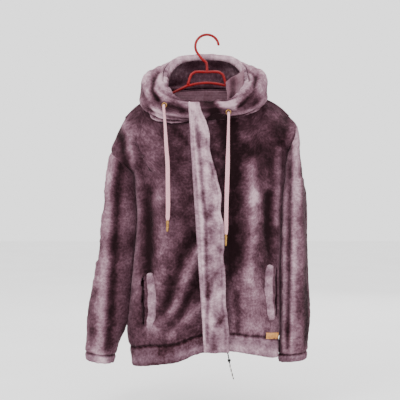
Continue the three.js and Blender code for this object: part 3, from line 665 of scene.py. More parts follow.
# Height of the top edge at x: the neck seam, or the shoulder's slope beyond it.
def topZ(x, curve):
    n = neckShare(x)
    high = curve(n)
    for side, beyond in ((sides["right"], n < -1), (sides["left"], n > 1)):
        neckX = body["neckCentre"] + side["sign"] * body["neckHalf"]
        slope = lerp(side["neckZ"], side["tipZ"], (x - neckX) / (edgeX(side, 0) - neckX))
        high = np.where(beyond, slope, high)
    return high


# Depth of the outer face ahead of or behind the hanger's plane: a power curve across, which turns
# into an ellipse at the armhole and into the neck's own curve near the top.
def bodyDepth(x, drop, side, centreX, top, hem):
    f = (drop - side["armholeTop"]) / (side["underarm"] - side["armholeTop"])
    arch = 2 * np.sqrt(np.clip(f * (1 - f), 0, None))
    w = np.clip((x - centreX) / (edgeX(side, drop) - centreX), 0, 1)
    roundness = (1 - w ** 2.5) ** lerp(0.5, 1, arch)
    hole = body["armholeDepth"] * arch
    depth = hole + (lerp(top, hem, drop / body["length"]) - hole) * roundness
    n = np.clip(np.abs(neckShare(x)), 0, 1)
    fade = (1 - np.clip(drop / body["shoulderFade"], 0, 1)) ** 2
    return lerp(depth, top * np.sqrt(1 - n * n), fade)


# The corner between shoulder and sleeve cap is eased down and in, by `fromEdge` and drop.
def roundedShoulder(points, fromEdge, drop, sign):
    ease = (1 - np.clip(fromEdge / 46, 0, 1)) ** 2 * (1 - np.clip(drop / 60, 0, 1)) ** 2
    points[..., 2] -= 10 * ease
    points[..., 0] -= sign * 5 * ease
    return points


def frontGrid(side, u, v):
    u, v = np.meshgrid(u, v)
    drop = v * body["length"]
    gap = side["sign"] * (zipGapHalf + sliderRoom)
    x0 = lerp(edgeX(side, 0), zipTop[0] + gap, u)
    x1 = lerp(edgeX(side, body["length"]), zipX(hemZ(0)) + gap, u)
    z = lerp(topZ(x0, neckFront), hemZ(x1), v)
    x = lerp(edgeX(side, drop), zipX(z) + gap, u)
    depth = bodyDepth(x, drop, side, zipX(z), body["frontTop"], body["frontHem"])
    return roundedShoulder(np.stack([x, -depth - halfSeam, z], -1), u * panelWidth, drop, side["sign"])


def backGrid(u, v):
    u, v = np.meshgrid(u, v)
    drop = v * body["length"]
    right, left = sides["right"], sides["left"]
    x0 = lerp(edgeX(right, 0), edgeX(left, 0), u)
    x1 = lerp(edgeX(right, body["length"]), edgeX(left, body["length"]), u)
    z = lerp(topZ(x0, neckBack), hemZ(x1), v)
    x = lerp(edgeX(right, drop), edgeX(left, drop), u)
    depths = [bodyDepth(x, drop, side, body["neckCentre"], body["backTop"], body["backHem"])
              for side in (right, left)]
    points = np.stack([x, np.where(u < 0.5, *depths) + halfSeam, z], -1)
    fromEdge = np.minimum(u, 1 - u) * 2 * panelWidth
    return roundedShoulder(points, fromEdge, drop, np.where(u < 0.5, -1, 1))


# ---- body panels ----
hemShare = 1 - body["hemHeight"] / body["length"]
seamShare = seamGap / 2 / body["length"] + 0.0012
panelEnd, hemStart = hemShare - seamShare, hemShare + seamShare


# Broad slack, small wrinkles and single tufts, which every pile surface has.
def slack(a, b, seed, broad=2.2, small=0.7):
    return (broad * lumps(a, b * 0.55, 46, seed) + broad * 0.5 * lumps(a, b * 0.7, 21, seed + 1)
            + small * lumps(a, b, 8, seed + 2) + 0.35 * lumps(a, b, 3.2, seed + 3))


# Beside the hem's seam: small puckers, the groove it is drawn into, and the hem's roll below.
def hemSeam(x, z, fromSeam, seed):
    pucker = 1.1 * np.sin(x / 2.6 + 2 * lumps(x, z, 20, seed)) * np.exp(-np.abs(fromSeam) / 13)
    return pucker, 3.6 * bell(fromSeam, 6), 3.2 * bell(fromSeam - 33, 11)


# How far the folds lift the front's face at each grid point, and how light it is there.
# `u` and `v` fade the folds at the side seam and the neck; the hem's seam draws in and puckers.
def frontRelief(grid, u, v, folds, seed):
    x, z = grid[..., 0], grid[..., 2]
    u, v = np.meshgrid(u, v)
    rise, tone = strokes(x, z, folds)
    fade = smoothStep(0, 22, u * panelWidth) * smoothStep(0, 30, v * body["length"])
    fade = fade * smoothStep(6, 34, (1 - u) * panelWidth)
    fromSeam = (v - hemShare) * body["length"]
    pucker, drawnIn, hemRoll = hemSeam(x, z, fromSeam, seed)
    stitch = 1.2 * bell(fromSeam - 11, 2.2) * (fromSeam > 0)
    lift = fade * (rise + slack(x, z, seed)) + pucker - drawnIn - stitch + hemRoll * smoothStep(0, 0.1, u)
    # Painted light on the puckers and the hem's roll and painted shade along the hem's seam, over the
    # folds' painted tone; then random patches, a lighter area low on the left front, and a darker right
    # front and right hem.
    shade = tone - 0.06 + 0.072 * (pucker + hemRoll) - 0.5 * bell(fromSeam, 4)
    shade = shade + 0.18 * lumps(x, z * 0.7, 34, seed + 9) + 0.10 * lumps(x, z, 13, seed + 10)
    shade = shade + 0.16 * smoothStep(40, 120, x) * smoothStep(-560, -680, z)
    shade = shade - 0.07 * smoothStep(20, -40, x)
    shade = shade - 0.2 * smoothStep(-4, 6, fromSeam) * smoothStep(20, -60, x)
    return np.maximum(lift, -9), shade


# Folds drawn as strokes over the front, sleeves and flap: points (x, z), half-width, height, tone, which is
# painted light on a ridge and painted shade in a groove.
rightFrontFolds = [
    ([(-205, -228), (-192, -265), (-182, -329), (-175, -408),
      (-174, -468), (-180, -540), (-188, -610)], 14, 7, 0.42),
    ([(-220, -230), (-208, -260), (-195, -330)], 11, -5, -0.5),
    ([(-148, -385), (-145, -498), (-145, -580)], 17, -8, -0.5),
    ([(-120, -410), (-120, -535), (-122, -660)], 19, 5, 0.22),
    ([(-20, -530), (-45, -582), (-74, -662), (-111, -708), (-131, -725)], 17, 10, 0.45),
    ([(-28, -500), (-58, -545), (-80, -610), (-105, -682)], 15, -7, -0.42),
    ([(-20, -595), (-45, -645), (-71, -698), (-102, -722)], 13, -7, -0.42),
    ([(-16, -668), (-60, -702), (-88, -731)], 15, 7, 0.35),
    ([(-160, -610), (-182, -668), (-195, -698)], 17, 6, 0.2),
    ([(-88, -225), (-65, -250), (-45, -275)], 6, -1.5, -0.15),
    ([(-142, -260), (-128, -335), (-122, -410)], 32, 4, 0.12),
    ([(-188, -340), (-185, -485), (-190, -585)], 7, -3, -0.35),
    ([(-72, -310), (-52, -410), (-42, -510)], 16, -3, -0.16),
]
leftFrontFolds = [
    ([(48, -190), (60, -285), (65, -410), (62, -510), (55, -585)], 24, -9, -0.62),
    ([(70, -635), (75, -698), (72, -725)], 9, -5, -0.42),
    ([(115, -398), (112, -468), (105, -540), (95, -602)], 15, 8, 0.4),
    ([(108, -625), (105, -722)], 36, 5, 0.26),
    ([(112, -322), (112, -410)], 13, 4, 0.3),
    ([(150, -400), (150, -495), (159, -558)], 11, -7, -0.5),
    ([(174, -285), (172, -468)], 8, 4, 0.36),
    # A stroke with no height: it only darkens a broad band of the left chest.
    ([(138, -172), (142, -285)], 60, 0, -0.26),
    ([(198, -200), (190, -252)], 16, -4, -0.35),
    ([(138, -565), (138, -622)], 12, -3, -0.2),
]
rightSleeveFolds = [
    ([(-218, -230), (-232, -322), (-242, -448), (-250, -572), (-258, -698), (-261, -805)], 17, 8, 0.5),
    ([(-205, -285), (-219, -360), (-224, -460), (-229, -560), (-238, -710), (-245, -772)], 11, -6, -0.55),
    ([(-242, -310), (-255, -448), (-270, -560), (-285, -685), (-292, -785)], 11, 0, -0.12),
    ([(-275, -565), (-290, -710), (-298, -790)], 10, 3, 0.2),
    ([(-228, -355), (-238, -385)], 16, 5, 0.2),
]
leftSleeveFolds = [
    ([(199, -285), (194, -425), (190, -585), (189, -785)], 6, 3, 0.42),
    ([(215, -210), (218, -285), (215, -410), (211, -610), (206, -785)], 12, 6, 0.48),
    ([(205, -285), (203, -425), (200, -610), (198, -772)], 6, -4, -0.42),
    ([(235, -285), (245, -410), (250, -560), (250, -760)], 11, -3, -0.5),
    ([(230, -360), (232, -560), (228, -772)], 9, 3, 0.1),
]
flapFolds = [
    ([(-41, -170), (-35, -222), (-28, -285), (-21, -372),
      (-12, -460), (-10, -565), (-8, -635), (-8, -748)], 5, 3.5, 0.3),
    ([(-25, -235), (-19, -285), (-12, -372), (-4, -460), (-2, -565), (0, -660), (0, -748)], 5, -2.5, -0.4),
    ([(-35, -180), (-18, -210), (0, -250)], 13, 5, 0.3),
    ([(-10, -285), (2, -348), (12, -410)], 12, 5, 0.3),
    ([(18, -330), (5, -385), (8, -448)], 8, -4, -0.3),
    ([(28, -372), (22, -472), (18, -565)], 10, 4, 0.22),
    ([(38, -565), (12, -598), (2, -640)], 7, -4, -0.32),
    ([(35, -630), (15, -655), (8, -705)], 8, 4.5, 0.26),
    ([(42, -680), (18, -722), (12, -765)], 7, -4, -0.3),
    ([(5, -480), (15, -510), (32, -530)], 6, -3, -0.25),
]
foldTables = {"right": rightFrontFolds, "left": leftFrontFolds}
pockets = {
    "right": dict(x=-140, z=-656, lean=0, width=22, height=146),
    "left": dict(x=156, z=-636, lean=0.02, width=22, height=146),
}
slotWidth = 9
fronts = {}


# Opens a slot in a cloth panel made of a grid: its cells go, and its two faces are joined round it.
def cutSlot(made, cut, thickCount):
    rows, columns = cut.shape
    mesh = made.data
    count = len(mesh.polygons)
    loops = np.zeros(count * 4, np.int32)
    mesh.loops.foreach_get("vertex_index", loops)
    quads = loops.reshape(-1, 4)
    points = np.zeros(len(mesh.vertices) * 3)
    mesh.vertices.foreach_get("co", points)
    uvs = np.zeros(len(mesh.loops) * 2)
    mesh.uv_layers[0].data.foreach_get("uv", uvs)
    uv = np.zeros((len(mesh.vertices), 2))
    uv[loops] = uvs.reshape(-1, 2)
    tone = np.zeros(len(mesh.vertices))
    mesh.attributes["tone"].data.foreach_get("value", tone)
    cells = rows * columns
    keep = np.ones(len(quads), bool)
    keep[:cells] = ~cut.ravel()
    keep[cells:2 * cells] = ~cut.ravel()
    index = np.arange((rows + 1) * (columns + 1)).reshape(rows + 1, columns + 1)
    rim = []
    j, i = np.nonzero(cut[:, :-1] != cut[:, 1:])
    a, b = index[j, i + 1], index[j + 1, i + 1]
    flip = cut[j, i]
    rim.append(np.where(flip[:, None], np.stack([a, b, b + thickCount, a + thickCount], 1),
                        np.stack([b, a, a + thickCount, b + thickCount], 1)))
    j, i = np.nonzero(cut[:-1] != cut[1:])
    a, b = index[j + 1, i], index[j + 1, i + 1]
    flip = cut[j, i]
    rim.append(np.where(flip[:, None], np.stack([b, a, a + thickCount, b + thickCount], 1),
                        np.stack([a, b, b + thickCount, a + thickCount], 1)))
    rim = np.concatenate(rim)
    if quads[0, 0] != 0:
        rim = rim[:, ::-1]
    name = made.name
    bpy.data.objects.remove(made)
    return meshFrom(name, points.reshape(-1, 3) * 1000, np.concatenate([quads[keep], rim]),
                    uv=uv * 1000, tone=tone)


# The slot's middle lies beside the welt, on the side away from the zip.
def slotMiddle(pocket, side):
    return pocket["x"] + side["sign"] * (pocket["width"] / 2 + slotWidth / 2)


def frontPanel(name, side):
    u = np.linspace(0, 1, 84)
    v = np.linspace(0, panelEnd, 236)
    seed = 11 if name == "right" else 31
    grid = frontGrid(side, u, v)
    lift, tone = frontRelief(grid, u, v, foldTables[name], seed)
    fronts[name] = grid + gridNormals(grid, side["sign"], False) * lift[..., None]
    made = clothPanel(f"{name}Front", grid, cloth, side["sign"], lift, tone, seed=seed)
    pocket = pockets[name]
    middle = (grid[:-1, :-1] + grid[1:, 1:]) / 2
    along = (middle[..., 2] - pocket["z"]) / (pocket["height"] / 2 - 12)
    reach = 3.6 * np.sqrt(np.clip(1 - along ** 4, 0, 1))
    cut = (np.abs(middle[..., 0] - slotMiddle(pocket, side)) < reach) & (np.abs(along) < 1)
    made = cutSlot(made, cut, len(u) * len(v))
    finishPiece(made, plush, "jacket", [f"{name}_front"])
    hemV = np.linspace(hemStart, 1, 22)
    hemGrid = frontGrid(side, u, hemV)
    lift, tone = frontRelief(hemGrid, u, hemV, foldTables[name], seed)
    hem = clothPanel(f"{name}FrontHem", hemGrid, cloth, side["sign"], lift, tone + 0.06,
                     seed=seed + 1, roll=0.6)
    finishPiece(hem, plushTrim, "jacket", [f"{name}_front_hem"])
    return made, hem


backFolds = [
    ([(-100, -210), (-60, -330), (-70, -520)], 30, 6, 0.14),
    ([(60, -200), (85, -360), (70, -560)], 26, 6, 0.14),
    ([(-20, -260), (-5, -460), (-15, -700)], 30, -6, -0.14),
    ([(130, -300), (120, -520)], 18, -5, -0.18),
    ([(-140, -340), (-128, -560)], 20, -5, -0.16),
    ([(20, -600), (40, -740)], 24, 6, 0.12),
]


def backPanel():
    u = np.linspace(0, 1, 150)
    v = np.linspace(0, panelEnd, 220)
    seed = 51

    def relief(grid, v):
        x, z = grid[..., 0], grid[..., 2]
        uu, vv = np.meshgrid(u, v)
        rise, tone = strokes(x, z, backFolds)
        fade = smoothStep(0, 26, np.minimum(uu, 1 - uu) * 2 * panelWidth)
        fade = fade * smoothStep(0, 45, vv * body["length"])
        fromSeam = (vv - hemShare) * body["length"]
        pucker, drawnIn, hemRoll = hemSeam(x, z, fromSeam, seed)
        lift = fade * (rise + slack(x, z, seed) + hemRoll) + pucker - drawnIn
        # Painted light on the puckers and painted shade along the hem's seam, over the folds' painted tone,
        # with random patches.
        shade = tone - 0.04 + 0.05 * pucker - 0.5 * bell(fromSeam, 4)
        return lift, shade + 0.13 * lumps(x, z * 0.6, 34, seed + 9)

    grid = backGrid(u, v)
    lift, tone = relief(grid, v)
    made = clothPanel("backPanel", grid, cloth, 1, lift, tone, seed=seed)
    finishPiece(made, plush, "jacket", ["back"])
    hemV = np.linspace(hemStart, 1, 22)
    grid = backGrid(u, hemV)
    lift, tone = relief(grid, hemV)
    hem = clothPanel("backHem", grid, cloth, 1, lift, tone + 0.06, seed=seed + 1, roll=0.6)
    finishPiece(hem, plushTrim, "jacket", ["back_hem"])
    return made, hem


# The place on a front's folded face at (x, z), `ahead` of it, averaged over the nearest grid points.
def onFront(name, x, z, ahead):
    grid = fronts[name]
    normal = gridNormals(grid, sides[name]["sign"], False)
    spread = (grid[..., 0] - x) ** 2 + (grid[..., 2] - z) ** 2
    near = np.argsort(spread.ravel())[:6]
    weight = 1 / (spread.ravel()[near] + 0.3)
    weight /= weight.sum()
    middle = (grid.reshape(-1, 3)[near] * weight[:, None]).sum(0)
    facing = unit((normal.reshape(-1, 3)[near] * weight[:, None]).sum(0))
    return np.array([x, middle[1], z]) + facing * ahead


# A puffed lip of pile cloth along the pocket's mouth.
def pocketWelt(name, side):
    pocket = pockets[name]
    b = np.linspace(-pocket["height"] / 2 + 9, pocket["height"] / 2 - 9, 90)
    bow = 8 * side["sign"] * (1 - (2 * b / pocket["height"]) ** 2)
    across = pocket["x"] + pocket["lean"] * b - bow
    path = np.array([onFront(name, x, pocket["z"] - fall, 3.2) for x, fall in zip(across, b)])
    kernel = np.ones(9) / 9
    for axis in range(3):
        padded = np.pad(path[:, axis], 4, mode="edge")
        path[:, axis] = np.convolve(padded, kernel, "valid")
    half = (10.2 + 0.9 * lumps(b, b, 22, 5)) * lerp(0.8, 1, smoothStep(0, 20, 64 - np.abs(b)))
    deep = 4.4 + 0.7 * lumps(b, b, 17, 6)
    angle = np.linspace(0, 2 * pi, 28, endpoint=False)
    along, around = np.meshgrid(b, angle * 9, indexing="ij")
    rough = 1 + 0.05 * lumps(along, around, 5, 8)
    tone = 0.26 + 0.2 * lumps(along, around, 16, 9)
    made = sweptTube(f"{name}PocketWelt", path, half, deep, 28, ring=rough, tone=tone)
    finishPiece(made, plushTrim, "jacket", [f"{name}_pocket_welt"])
    return made


# The bag behind the slot: a dished sheet whose rim nears the front all round.
def pocketBag(name, side):
    pocket = pockets[name]
    halfWide, halfHigh = 40, pocket["height"] / 2 + 12
    middle = slotMiddle(pocket, side) + side["sign"] * (slotWidth / 2 + 3 - halfWide)
    a, b = np.meshgrid(np.linspace(-1, 1, 26), np.linspace(-1, 1, 44))
    dish = np.sqrt(np.clip((1 - a ** 4) * (1 - b ** 4), 0, 1))
    x, z = middle + a * halfWide, pocket["z"] - b * halfHigh
    plain = frontGrid(side, np.linspace(0.01, 1, 90), np.linspace(0.3, 0.99, 200))
    normal = gridNormals(plain, side["sign"], False).reshape(-1, 3)
    flat = plain.reshape(-1, 3)
    near = np.array([np.argmin((flat[:, 0] - p) ** 2 + (flat[:, 2] - q) ** 2)
                     for p, q in zip(x.ravel(), z.ravel())])
    back = -(cloth + 9 + 12 * dish.ravel())
    grid = np.stack([x.ravel(), flat[near, 1], z.ravel()], 1) + normal[near] * back[:, None]
    made = clothPanel(f"{name}PocketBag", grid.reshape(44, 26, 3), 1.5, -1, 0.5 * lumps(x, z, 18, 12),
                      seed=61)
    finishPiece(made, lining, "jacket", [f"{name}_pocket_bag"])
    return made


# A blank tan tab, slightly domed, sewn on near the hem.
def hemLabel():
    width, height, centre = 40, 15, (158, -742)
    a, b = np.meshgrid(np.linspace(-width / 2, width / 2, 44), np.linspace(-height / 2, height / 2, 18))
    x, z = centre[0] + a * 0.8, centre[1] - b - a * 0.12
    grid = np.array([onFront("left", p, q, 0) for p, q in zip(x.ravel(), z.ravel())])
    grid = grid.reshape(18, 44, 3)
    smooth = np.linspace(0, 1, 44)[None, :, None]
    rim = lerp(grid[:, :1], grid[:, -1:], smooth)
    edge = np.minimum(width / 2 - np.abs(a), height / 2 - np.abs(b))
    lift = 3.0 - 0.35 * bell(edge - 2, 0.5) + 0.5 * np.clip(edge / 4, 0, 1)
    made = clothPanel("hemLabel", lerp(grid, rim, 0.6), 1.2, -1, lift, seed=62)
    finishPiece(made, leather, "jacket", ["hem_label"])


bodyPieces = {name: frontPanel(name, side) for name, side in sides.items()}
backPieces = backPanel()
welts = {name: pocketWelt(name, side) for name, side in sides.items()}
bags = {name: pocketBag(name, side) for name, side in sides.items()}
hemLabel()
print("body panels made")

# ---- sleeves ----
# The armhole, then level rings down the sleeve: each has its centre, its half-width as a vector
# across and its half-depth.
def sleeveRings(side):
    outer = np.array([edgeX(side, side["armholeTop"]), 0, side["tipZ"] - side["armholeTop"]])
    under = np.array([edgeX(side, side["underarm"]), 0, side["tipZ"] - side["underarm"]])
    along = under - outer
    rings = [((outer + under) / 2, along / 2, body["armholeDepth"])]
    for fall, half, gap in side["pose"]:
        drop = side["underarm"] + fall
        x = edgeX(side, drop) + side["sign"] * (gap + half)
        deep = lerp(body["armholeDepth"] + 2, body["armholeDepth"] - 4, fall / 520)
        rings.append((np.array([x, 0, side["tipZ"] - drop]), np.array([-side["sign"] * half, 0, -4]), deep))
    return rings


# An elliptic tube down the rings: angle 0 is the outer side and a quarter turn is the front.
def sleeveGrid(side, u, v):
    rings = sleeveRings(side)
    t = np.linspace(0, 1, len(rings))
    track = lambda pick: through([(a, pick(r)) for a, r in zip(t, rings)])(v)[:, None]
    centre = np.stack([track(lambda r: r[0][0]), 0 * v[:, None], track(lambda r: r[0][2])], -1)
    half = np.stack([track(lambda r: r[1][0]), 0 * v[:, None], track(lambda r: r[1][2])], -1)
    angle = 2 * pi * u[None, :]
    deep = -track(lambda r: r[2]) * np.sin(angle)
    points = centre - half * np.cos(angle)[..., None]
    points[..., 1] += deep
    # Above the elbow the inner side lies against the body, so no light shows between them.
    inner = centre[..., 0] + half[..., 0]
    touch = edgeX(side, side["tipZ"] - centre[..., 2] - half[..., 2]) - side["sign"] * 2.2
    away = side["awayFrom"]
    share = smoothStep(0.0, 0.05, v) * (1 - smoothStep(away, away + 0.14, v))
    points[..., 0] += (touch - inner) * share[:, None] * (0.5 - 0.5 * np.cos(angle)) ** 1.5
    return points


sleeveFolds = {"right": rightSleeveFolds, "left": leftSleeveFolds}
cuffHeight = 22


def sleevePieces(name, side):
    rings = sleeveRings(side)
    last = len(rings) - 1
    cuffShare = 1 - cuffHeight / np.linalg.norm(rings[last][0] - rings[last - 1][0]) / last
    length = sum(np.linalg.norm(b[0] - a[0]) for a, b in zip(rings[:-1], rings[1:]))
    u = np.linspace(0, 1, 150)[:-1]
    seed = 71 if name == "right" else 91
    swing = f"{name}_sleeve"

    def relief(grid, v):
        x, y, z = grid[..., 0], grid[..., 1], grid[..., 2]
        rise, tone = strokes(x, z, sleeveFolds[name])
        facing = smoothStep(-6, 14, -y)
        behind = smoothStep(-6, 14, y)
        rise = rise * (facing + 0.8 * behind)
        tone = tone * (facing + 0.7 * behind)
        wave = np.sin(2 * pi * u)[None, :]
        loose = slack(wave * 60 + x * 0.5, z, seed, broad=2.0)
        fromSeam = (v - cuffShare)[:, None] * length + 0 * x
        pucker = 0.9 * np.sin(u * 260 / 2.8) * np.exp(-np.abs(fromSeam) / 10)
        lift = rise + loose + pucker - 3.0 * bell(fromSeam, 5)
        lift = lift * smoothStep(0, 0.05, v)[:, None]
        # The folds' painted tone, with random patches, and painted shade along the cuff's seam.
        shade = tone - 0.1 + 0.22 * lumps(wave * 60 + x * 0.5, z * 0.7, 30, seed + 9)
        return np.clip(lift, -8, 9), shade - 0.4 * bell(fromSeam, 4)

    away = unit(np.array([-(rings[0][1][2]), 0, rings[0][1][0]])) * -side["sign"]
    away = away if away[2] < 0 else -away
    v = np.linspace(0.004, cuffShare - 0.0035, 200)
    grid = sleeveGrid(side, u, v)
    lift, tone = relief(grid, v)
    made = clothPanel(f"{name}Sleeve", grid, cloth, side["sign"], lift, tone, wrap=True, seed=seed)
    made.data.materials.append(plush)
    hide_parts(f"{name}_sleeve")
    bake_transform(made)
    v = np.linspace(cuffShare + 0.001, 1, 16)
    grid = sleeveGrid(side, u, v)
    lift, tone = relief(grid, v)
    cuff = clothPanel(f"{name}Cuff", grid, cloth, side["sign"], lift + 0.8, tone + 0.08, wrap=True,
                      seed=seed + 1, roll=0.7)
    finishPiece(cuff, plushTrim, swing, [f"{name}_cuff"])
    return made, cuff


# ---- hood ----
hoodRings = [
    dict(x=-11, half=155, front=68, back=66, zFront=-214, zRight=-160, zLeft=-148, zBack=-215),
    dict(x=-8, half=160, front=76, back=84, zFront=-200, zRight=-130, zLeft=-124, zBack=-150),
    dict(x=-5, half=140, front=80, back=80, zFront=-182, zRight=-92, zLeft=-88, zBack=-62),
    dict(x=-4, half=113, front=73, back=58, zFront=-169, zRight=-98, zLeft=-96, zBack=-40),
    dict(x=-2, half=95, front=58, back=38, zFront=-177, zRight=-125, zLeft=-125, zBack=-52),
]
neckLift = 5
casingShare = 0.875


# Each half runs from the neck seam through the rings to the rim, at angles from the front centre
# round to the back centre.
def hoodGrid(side, u, v):
    angle = lerp(0.0006, pi - 0.0001, u)
    sine, cosine = np.sin(angle), np.cos(angle)
    share = np.abs(cosine)
    ahead = cosine > 0
    x = body["neckCentre"] + side["sign"] * body["neckHalf"] * sine
    n = np.clip(neckShare(x), -1, 1)
    seam = np.stack([x, -cosine * np.where(ahead, body["frontTop"], body["backTop"]),
                     np.where(ahead, neckFront(n), neckBack(n)) + neckLift], -1)
    stations = []
    for ring in hoodRings:
        zSide = ring["zRight"] if side["sign"] < 0 else ring["zLeft"]
        z = lerp(zSide, np.where(ahead, ring["zFront"], ring["zBack"]), share)
        deep = share ** 0.6 * np.where(ahead, -ring["front"], ring["back"])
        wide = side["sign"] * ring["half"] * sine ** 0.6
        stations.append(np.stack([ring["x"] + wide, deep, z], -1))
    collar = seam + np.stack([0 * share, 14 * share, 10 * share], -1)
    first = np.where(ahead[:, None], lerp(seam, stations[0], 0.4), collar)
    return splineThrough([seam, first, *stations], v)


# Creases and rolls on the part of the hood that faces forwards.
hoodFolds = [
    ([(-104, -50), (-112, -66), (-122, -92), (-131, -118), (-133, -145), (-120, -166)], 5, -4, -0.62),
    ([(-66, -57), (-86, -88), (-96, -112), (-99, -132)], 5, -3.5, -0.55),
    ([(-84, -46), (-98, -72), (-112, -102), (-116, -122)], 9, 3.5, 0.3),
    ([(-122, -116), (-112, -140), (-96, -172)], 10, 4, 0.42),
    ([(-150, -104), (-156, -130), (-148, -158)], 11, 3, 0.32),
    ([(-160, -130), (-150, -165), (-138, -196)], 6, -3, -0.45),
    ([(-138, -168), (-124, -190), (-112, -206)], 10, 3.5, 0.45),
    ([(-92, -180), (-70, -186), (-58, -196)], 10, -3, -0.5),
    ([(64, -62), (84, -86), (88, -116)], 6, -3.5, -0.5),
    ([(78, -56), (104, -88), (112, -116), (98, -144), (60, -176)], 10, 4, 0.3),
    ([(104, -84), (119, -108), (114, -146), (76, -188)], 5, -4, -0.62),
    ([(132, -96), (140, -120), (128, -150)], 14, 2.5, 0.12),
    ([(-8, -176), (8, -172), (18, -190), (14, -214)], 12, -3, -0.75),
    ([(24, -174), (50, -184), (76, -190)], 8, 3.5, 0.35),
    ([(24, -204), (60, -214), (88, -206)], 9, -3, -0.5),
]


# Gathers rise from the neck seam, and slack folds run round the hood.
def hoodRelief(u, v, seed):
    uu, vv = np.meshgrid(u, v)
    along, up = uu * 420, vv * 250
    gathers = 2.6 * np.sin(along / 9 + 3 * lumps(along, up, 60, seed)) * np.exp(-up / 40)
    folds = 5.0 * lumps(along * 0.35 + up * 0.5, up * 1.5 - along * 0.2, 26, seed + 1)
    lift = gathers + folds + slack(along, up, seed + 2, broad=2.6)
    fade = smoothStep(0, 24, along) * smoothStep(0, 24, 420 - along) * smoothStep(0, 9, up)
    # Painted light where the gathers and folds rise and painted shade where they sink, random patches, and
    # painted shade along the neck seam.
    shade = 0.14 + 0.05 * gathers + 0.06 * folds + 0.24 * lumps(along, up, 34, seed + 4)
    return np.clip(lift * fade, -6, 7), shade - 0.3 * bell(up, 8)


# The hood's grid with its drawn creases and their painted tone, and painted light on the inside at the back
# of the rim.
def foldedHood(side, u, v):
    grid = hoodGrid(side, u, v)
    rise, shade = strokes(grid[..., 0], grid[..., 2], hoodFolds)
    faces = smoothStep(34, 4, grid[..., 1])
    # Painted light on the inside of the hood's back, above the neck.
    inside = smoothStep(10, 40, grid[..., 1]) * smoothStep(-120, -60, grid[..., 2])
    return grid, rise * faces, shade * faces + 0.3 * inside


# The casing puffs out round the drawstring, wrinkles along it, and lies flat at the front.
def casingRelief(u, v, seed):
    uu, vv = np.meshgrid(u, (v - casingShare) / (1 - casingShare))
    along, across = uu * 420, vv * 34
    puff = 6.5 * np.sqrt(np.clip(1 - (2 * vv - 1) ** 2, 0, 1))
    puff = puff * (1 + 0.45 * lumps(along, across, 38, seed + 7) * np.sin(pi * uu) ** 0.5)
    wrinkles = 2.2 * np.sin(along / 5.2 + 4 * lumps(along, across, 34, seed + 5))
    wrinkles = wrinkles * (0.5 + 0.5 * lumps(along, across, 50, seed + 6))
    stitch = -1.6 * bell(across - 5, 1.6)
    front = smoothStep(0.34, 0.06, uu)
    lift = 1 + puff + wrinkles * np.sin(pi * vv) + stitch + 0.4 * lumps(along, across, 4, seed + 8)
    # Painted light on the crests of the wrinkles and painted shade in their troughs, with random patches.
    shade = 0.1 + 0.06 * wrinkles + 0.24 * lumps(along, across, 30, seed + 9)
    return lift * (1 - 0.8 * front) - 3.5 * front, shade, np.sin(pi * uu)


def hoodPieces(name, side):
    u = np.linspace(0, 1, 240)
    seed = 111
    v = np.linspace(0, casingShare - 0.012, 120)
    lift, tone = hoodRelief(u, v, seed)
    grid, rise, shade = foldedHood(side, u, v)
    lift, tone = lift + rise, tone + shade
    made = clothPanel(f"{name}HoodPanel", grid, cloth, side["sign"], lift, tone, seed=seed)
    finishPiece(made, plush, "jacket", [f"{name}_hood_panel"])
    v = np.linspace(casingShare, 1, 30)
    lift, tone, sideways = casingRelief(u, v, seed)
    grid, rise, shade = foldedHood(side, u, v)
    lift, tone = lift + 0.6 * rise, tone + shade + (0.14 if name == "left" else 0.04) * sideways
    casing = clothPanel(f"{name}HoodCasing", grid, cloth + 5, side["sign"], lift, tone,
                        seed=seed + 1, roll=0.5)
    finishPiece(casing, plushTrim, "jacket", [f"{name}_hood_casing"])
    return made, casing


# A slack fold of the hood's lining that hangs inside the left rim, ahead of the hanger's arm.
def liningFold():
    u, v = np.meshgrid(np.linspace(0, 1, 60), np.linspace(0, 1, 90))
    x = lerp(47, 90, u) + 1.5 * lumps(v * 80, u * 0, 21, 71) + 4 * (1 - u) * v
    z = lerp(lerp(-119, -90, u), -172, v)
    y = -24 - 9 * np.sin(2.4 * pi * u + 1.2 * v) - 6 * np.sin(pi * u) * v
    grid = np.stack([x, y, z], -1)
    # Painted light on one slope of each fold of the lining and painted shade on the other, with random
    # patches.
    slopeShadingAndTone = 0.2 * np.cos(2.4 * pi * u + 1.2 * v) + 0.14 * lumps(x, z, 17, 72)
    made = clothPanel("hoodLiningFold", grid, 3, -1, 0.5 * lumps(x, z, 7, 73), 0.22 + slopeShadingAndTone, seed=66)
    return finishPiece(made, lining, "jacket", [])


# The half-moon facing inside the back neck.
def neckFacing():
    n, v = np.meshgrid(np.linspace(-1, 1, 80), np.linspace(0, 1, 34))
    x = body["neckCentre"] + n * 95
    fall = 62 * np.sqrt(np.clip(1 - n ** 2 * 0.92, 0, 1)) * v
    z = topZ(x, neckBack) - 3 - fall
    depth = bodyDepth(x, fall + 3, sides["right"], body["neckCentre"], body["backTop"], body["backHem"])
    grid = np.stack([x, depth - cloth * 1.7, z], -1)
    rib = 0.3 * np.sin(z / 1.1) + 0.7 * lumps(x, z, 16, 21) - 1.2 * bell(v - 0.93, 0.03)
    # Painted light near the facing's top and painted shadow towards its lower edge, inside the neck, with
    # random patches.
    shade = -0.42 + 0.62 * smoothStep(0.7, 0.25, v) + 0.1 * lumps(x, z, 20, 22)
    made = clothPanel("backNeckFacing", grid, 1.5, -1, -1.2 + rib, shade, seed=63)
    finishPiece(made, lining, "jacket", ["back_neck_facing"])
    return made


# ---- front flap ----
flapNarrow = through([(0, 0.42), (0.08, 0.66), (0.22, 0.78), (0.34, 1), (0.7, 0.98), (1, 0.96)])


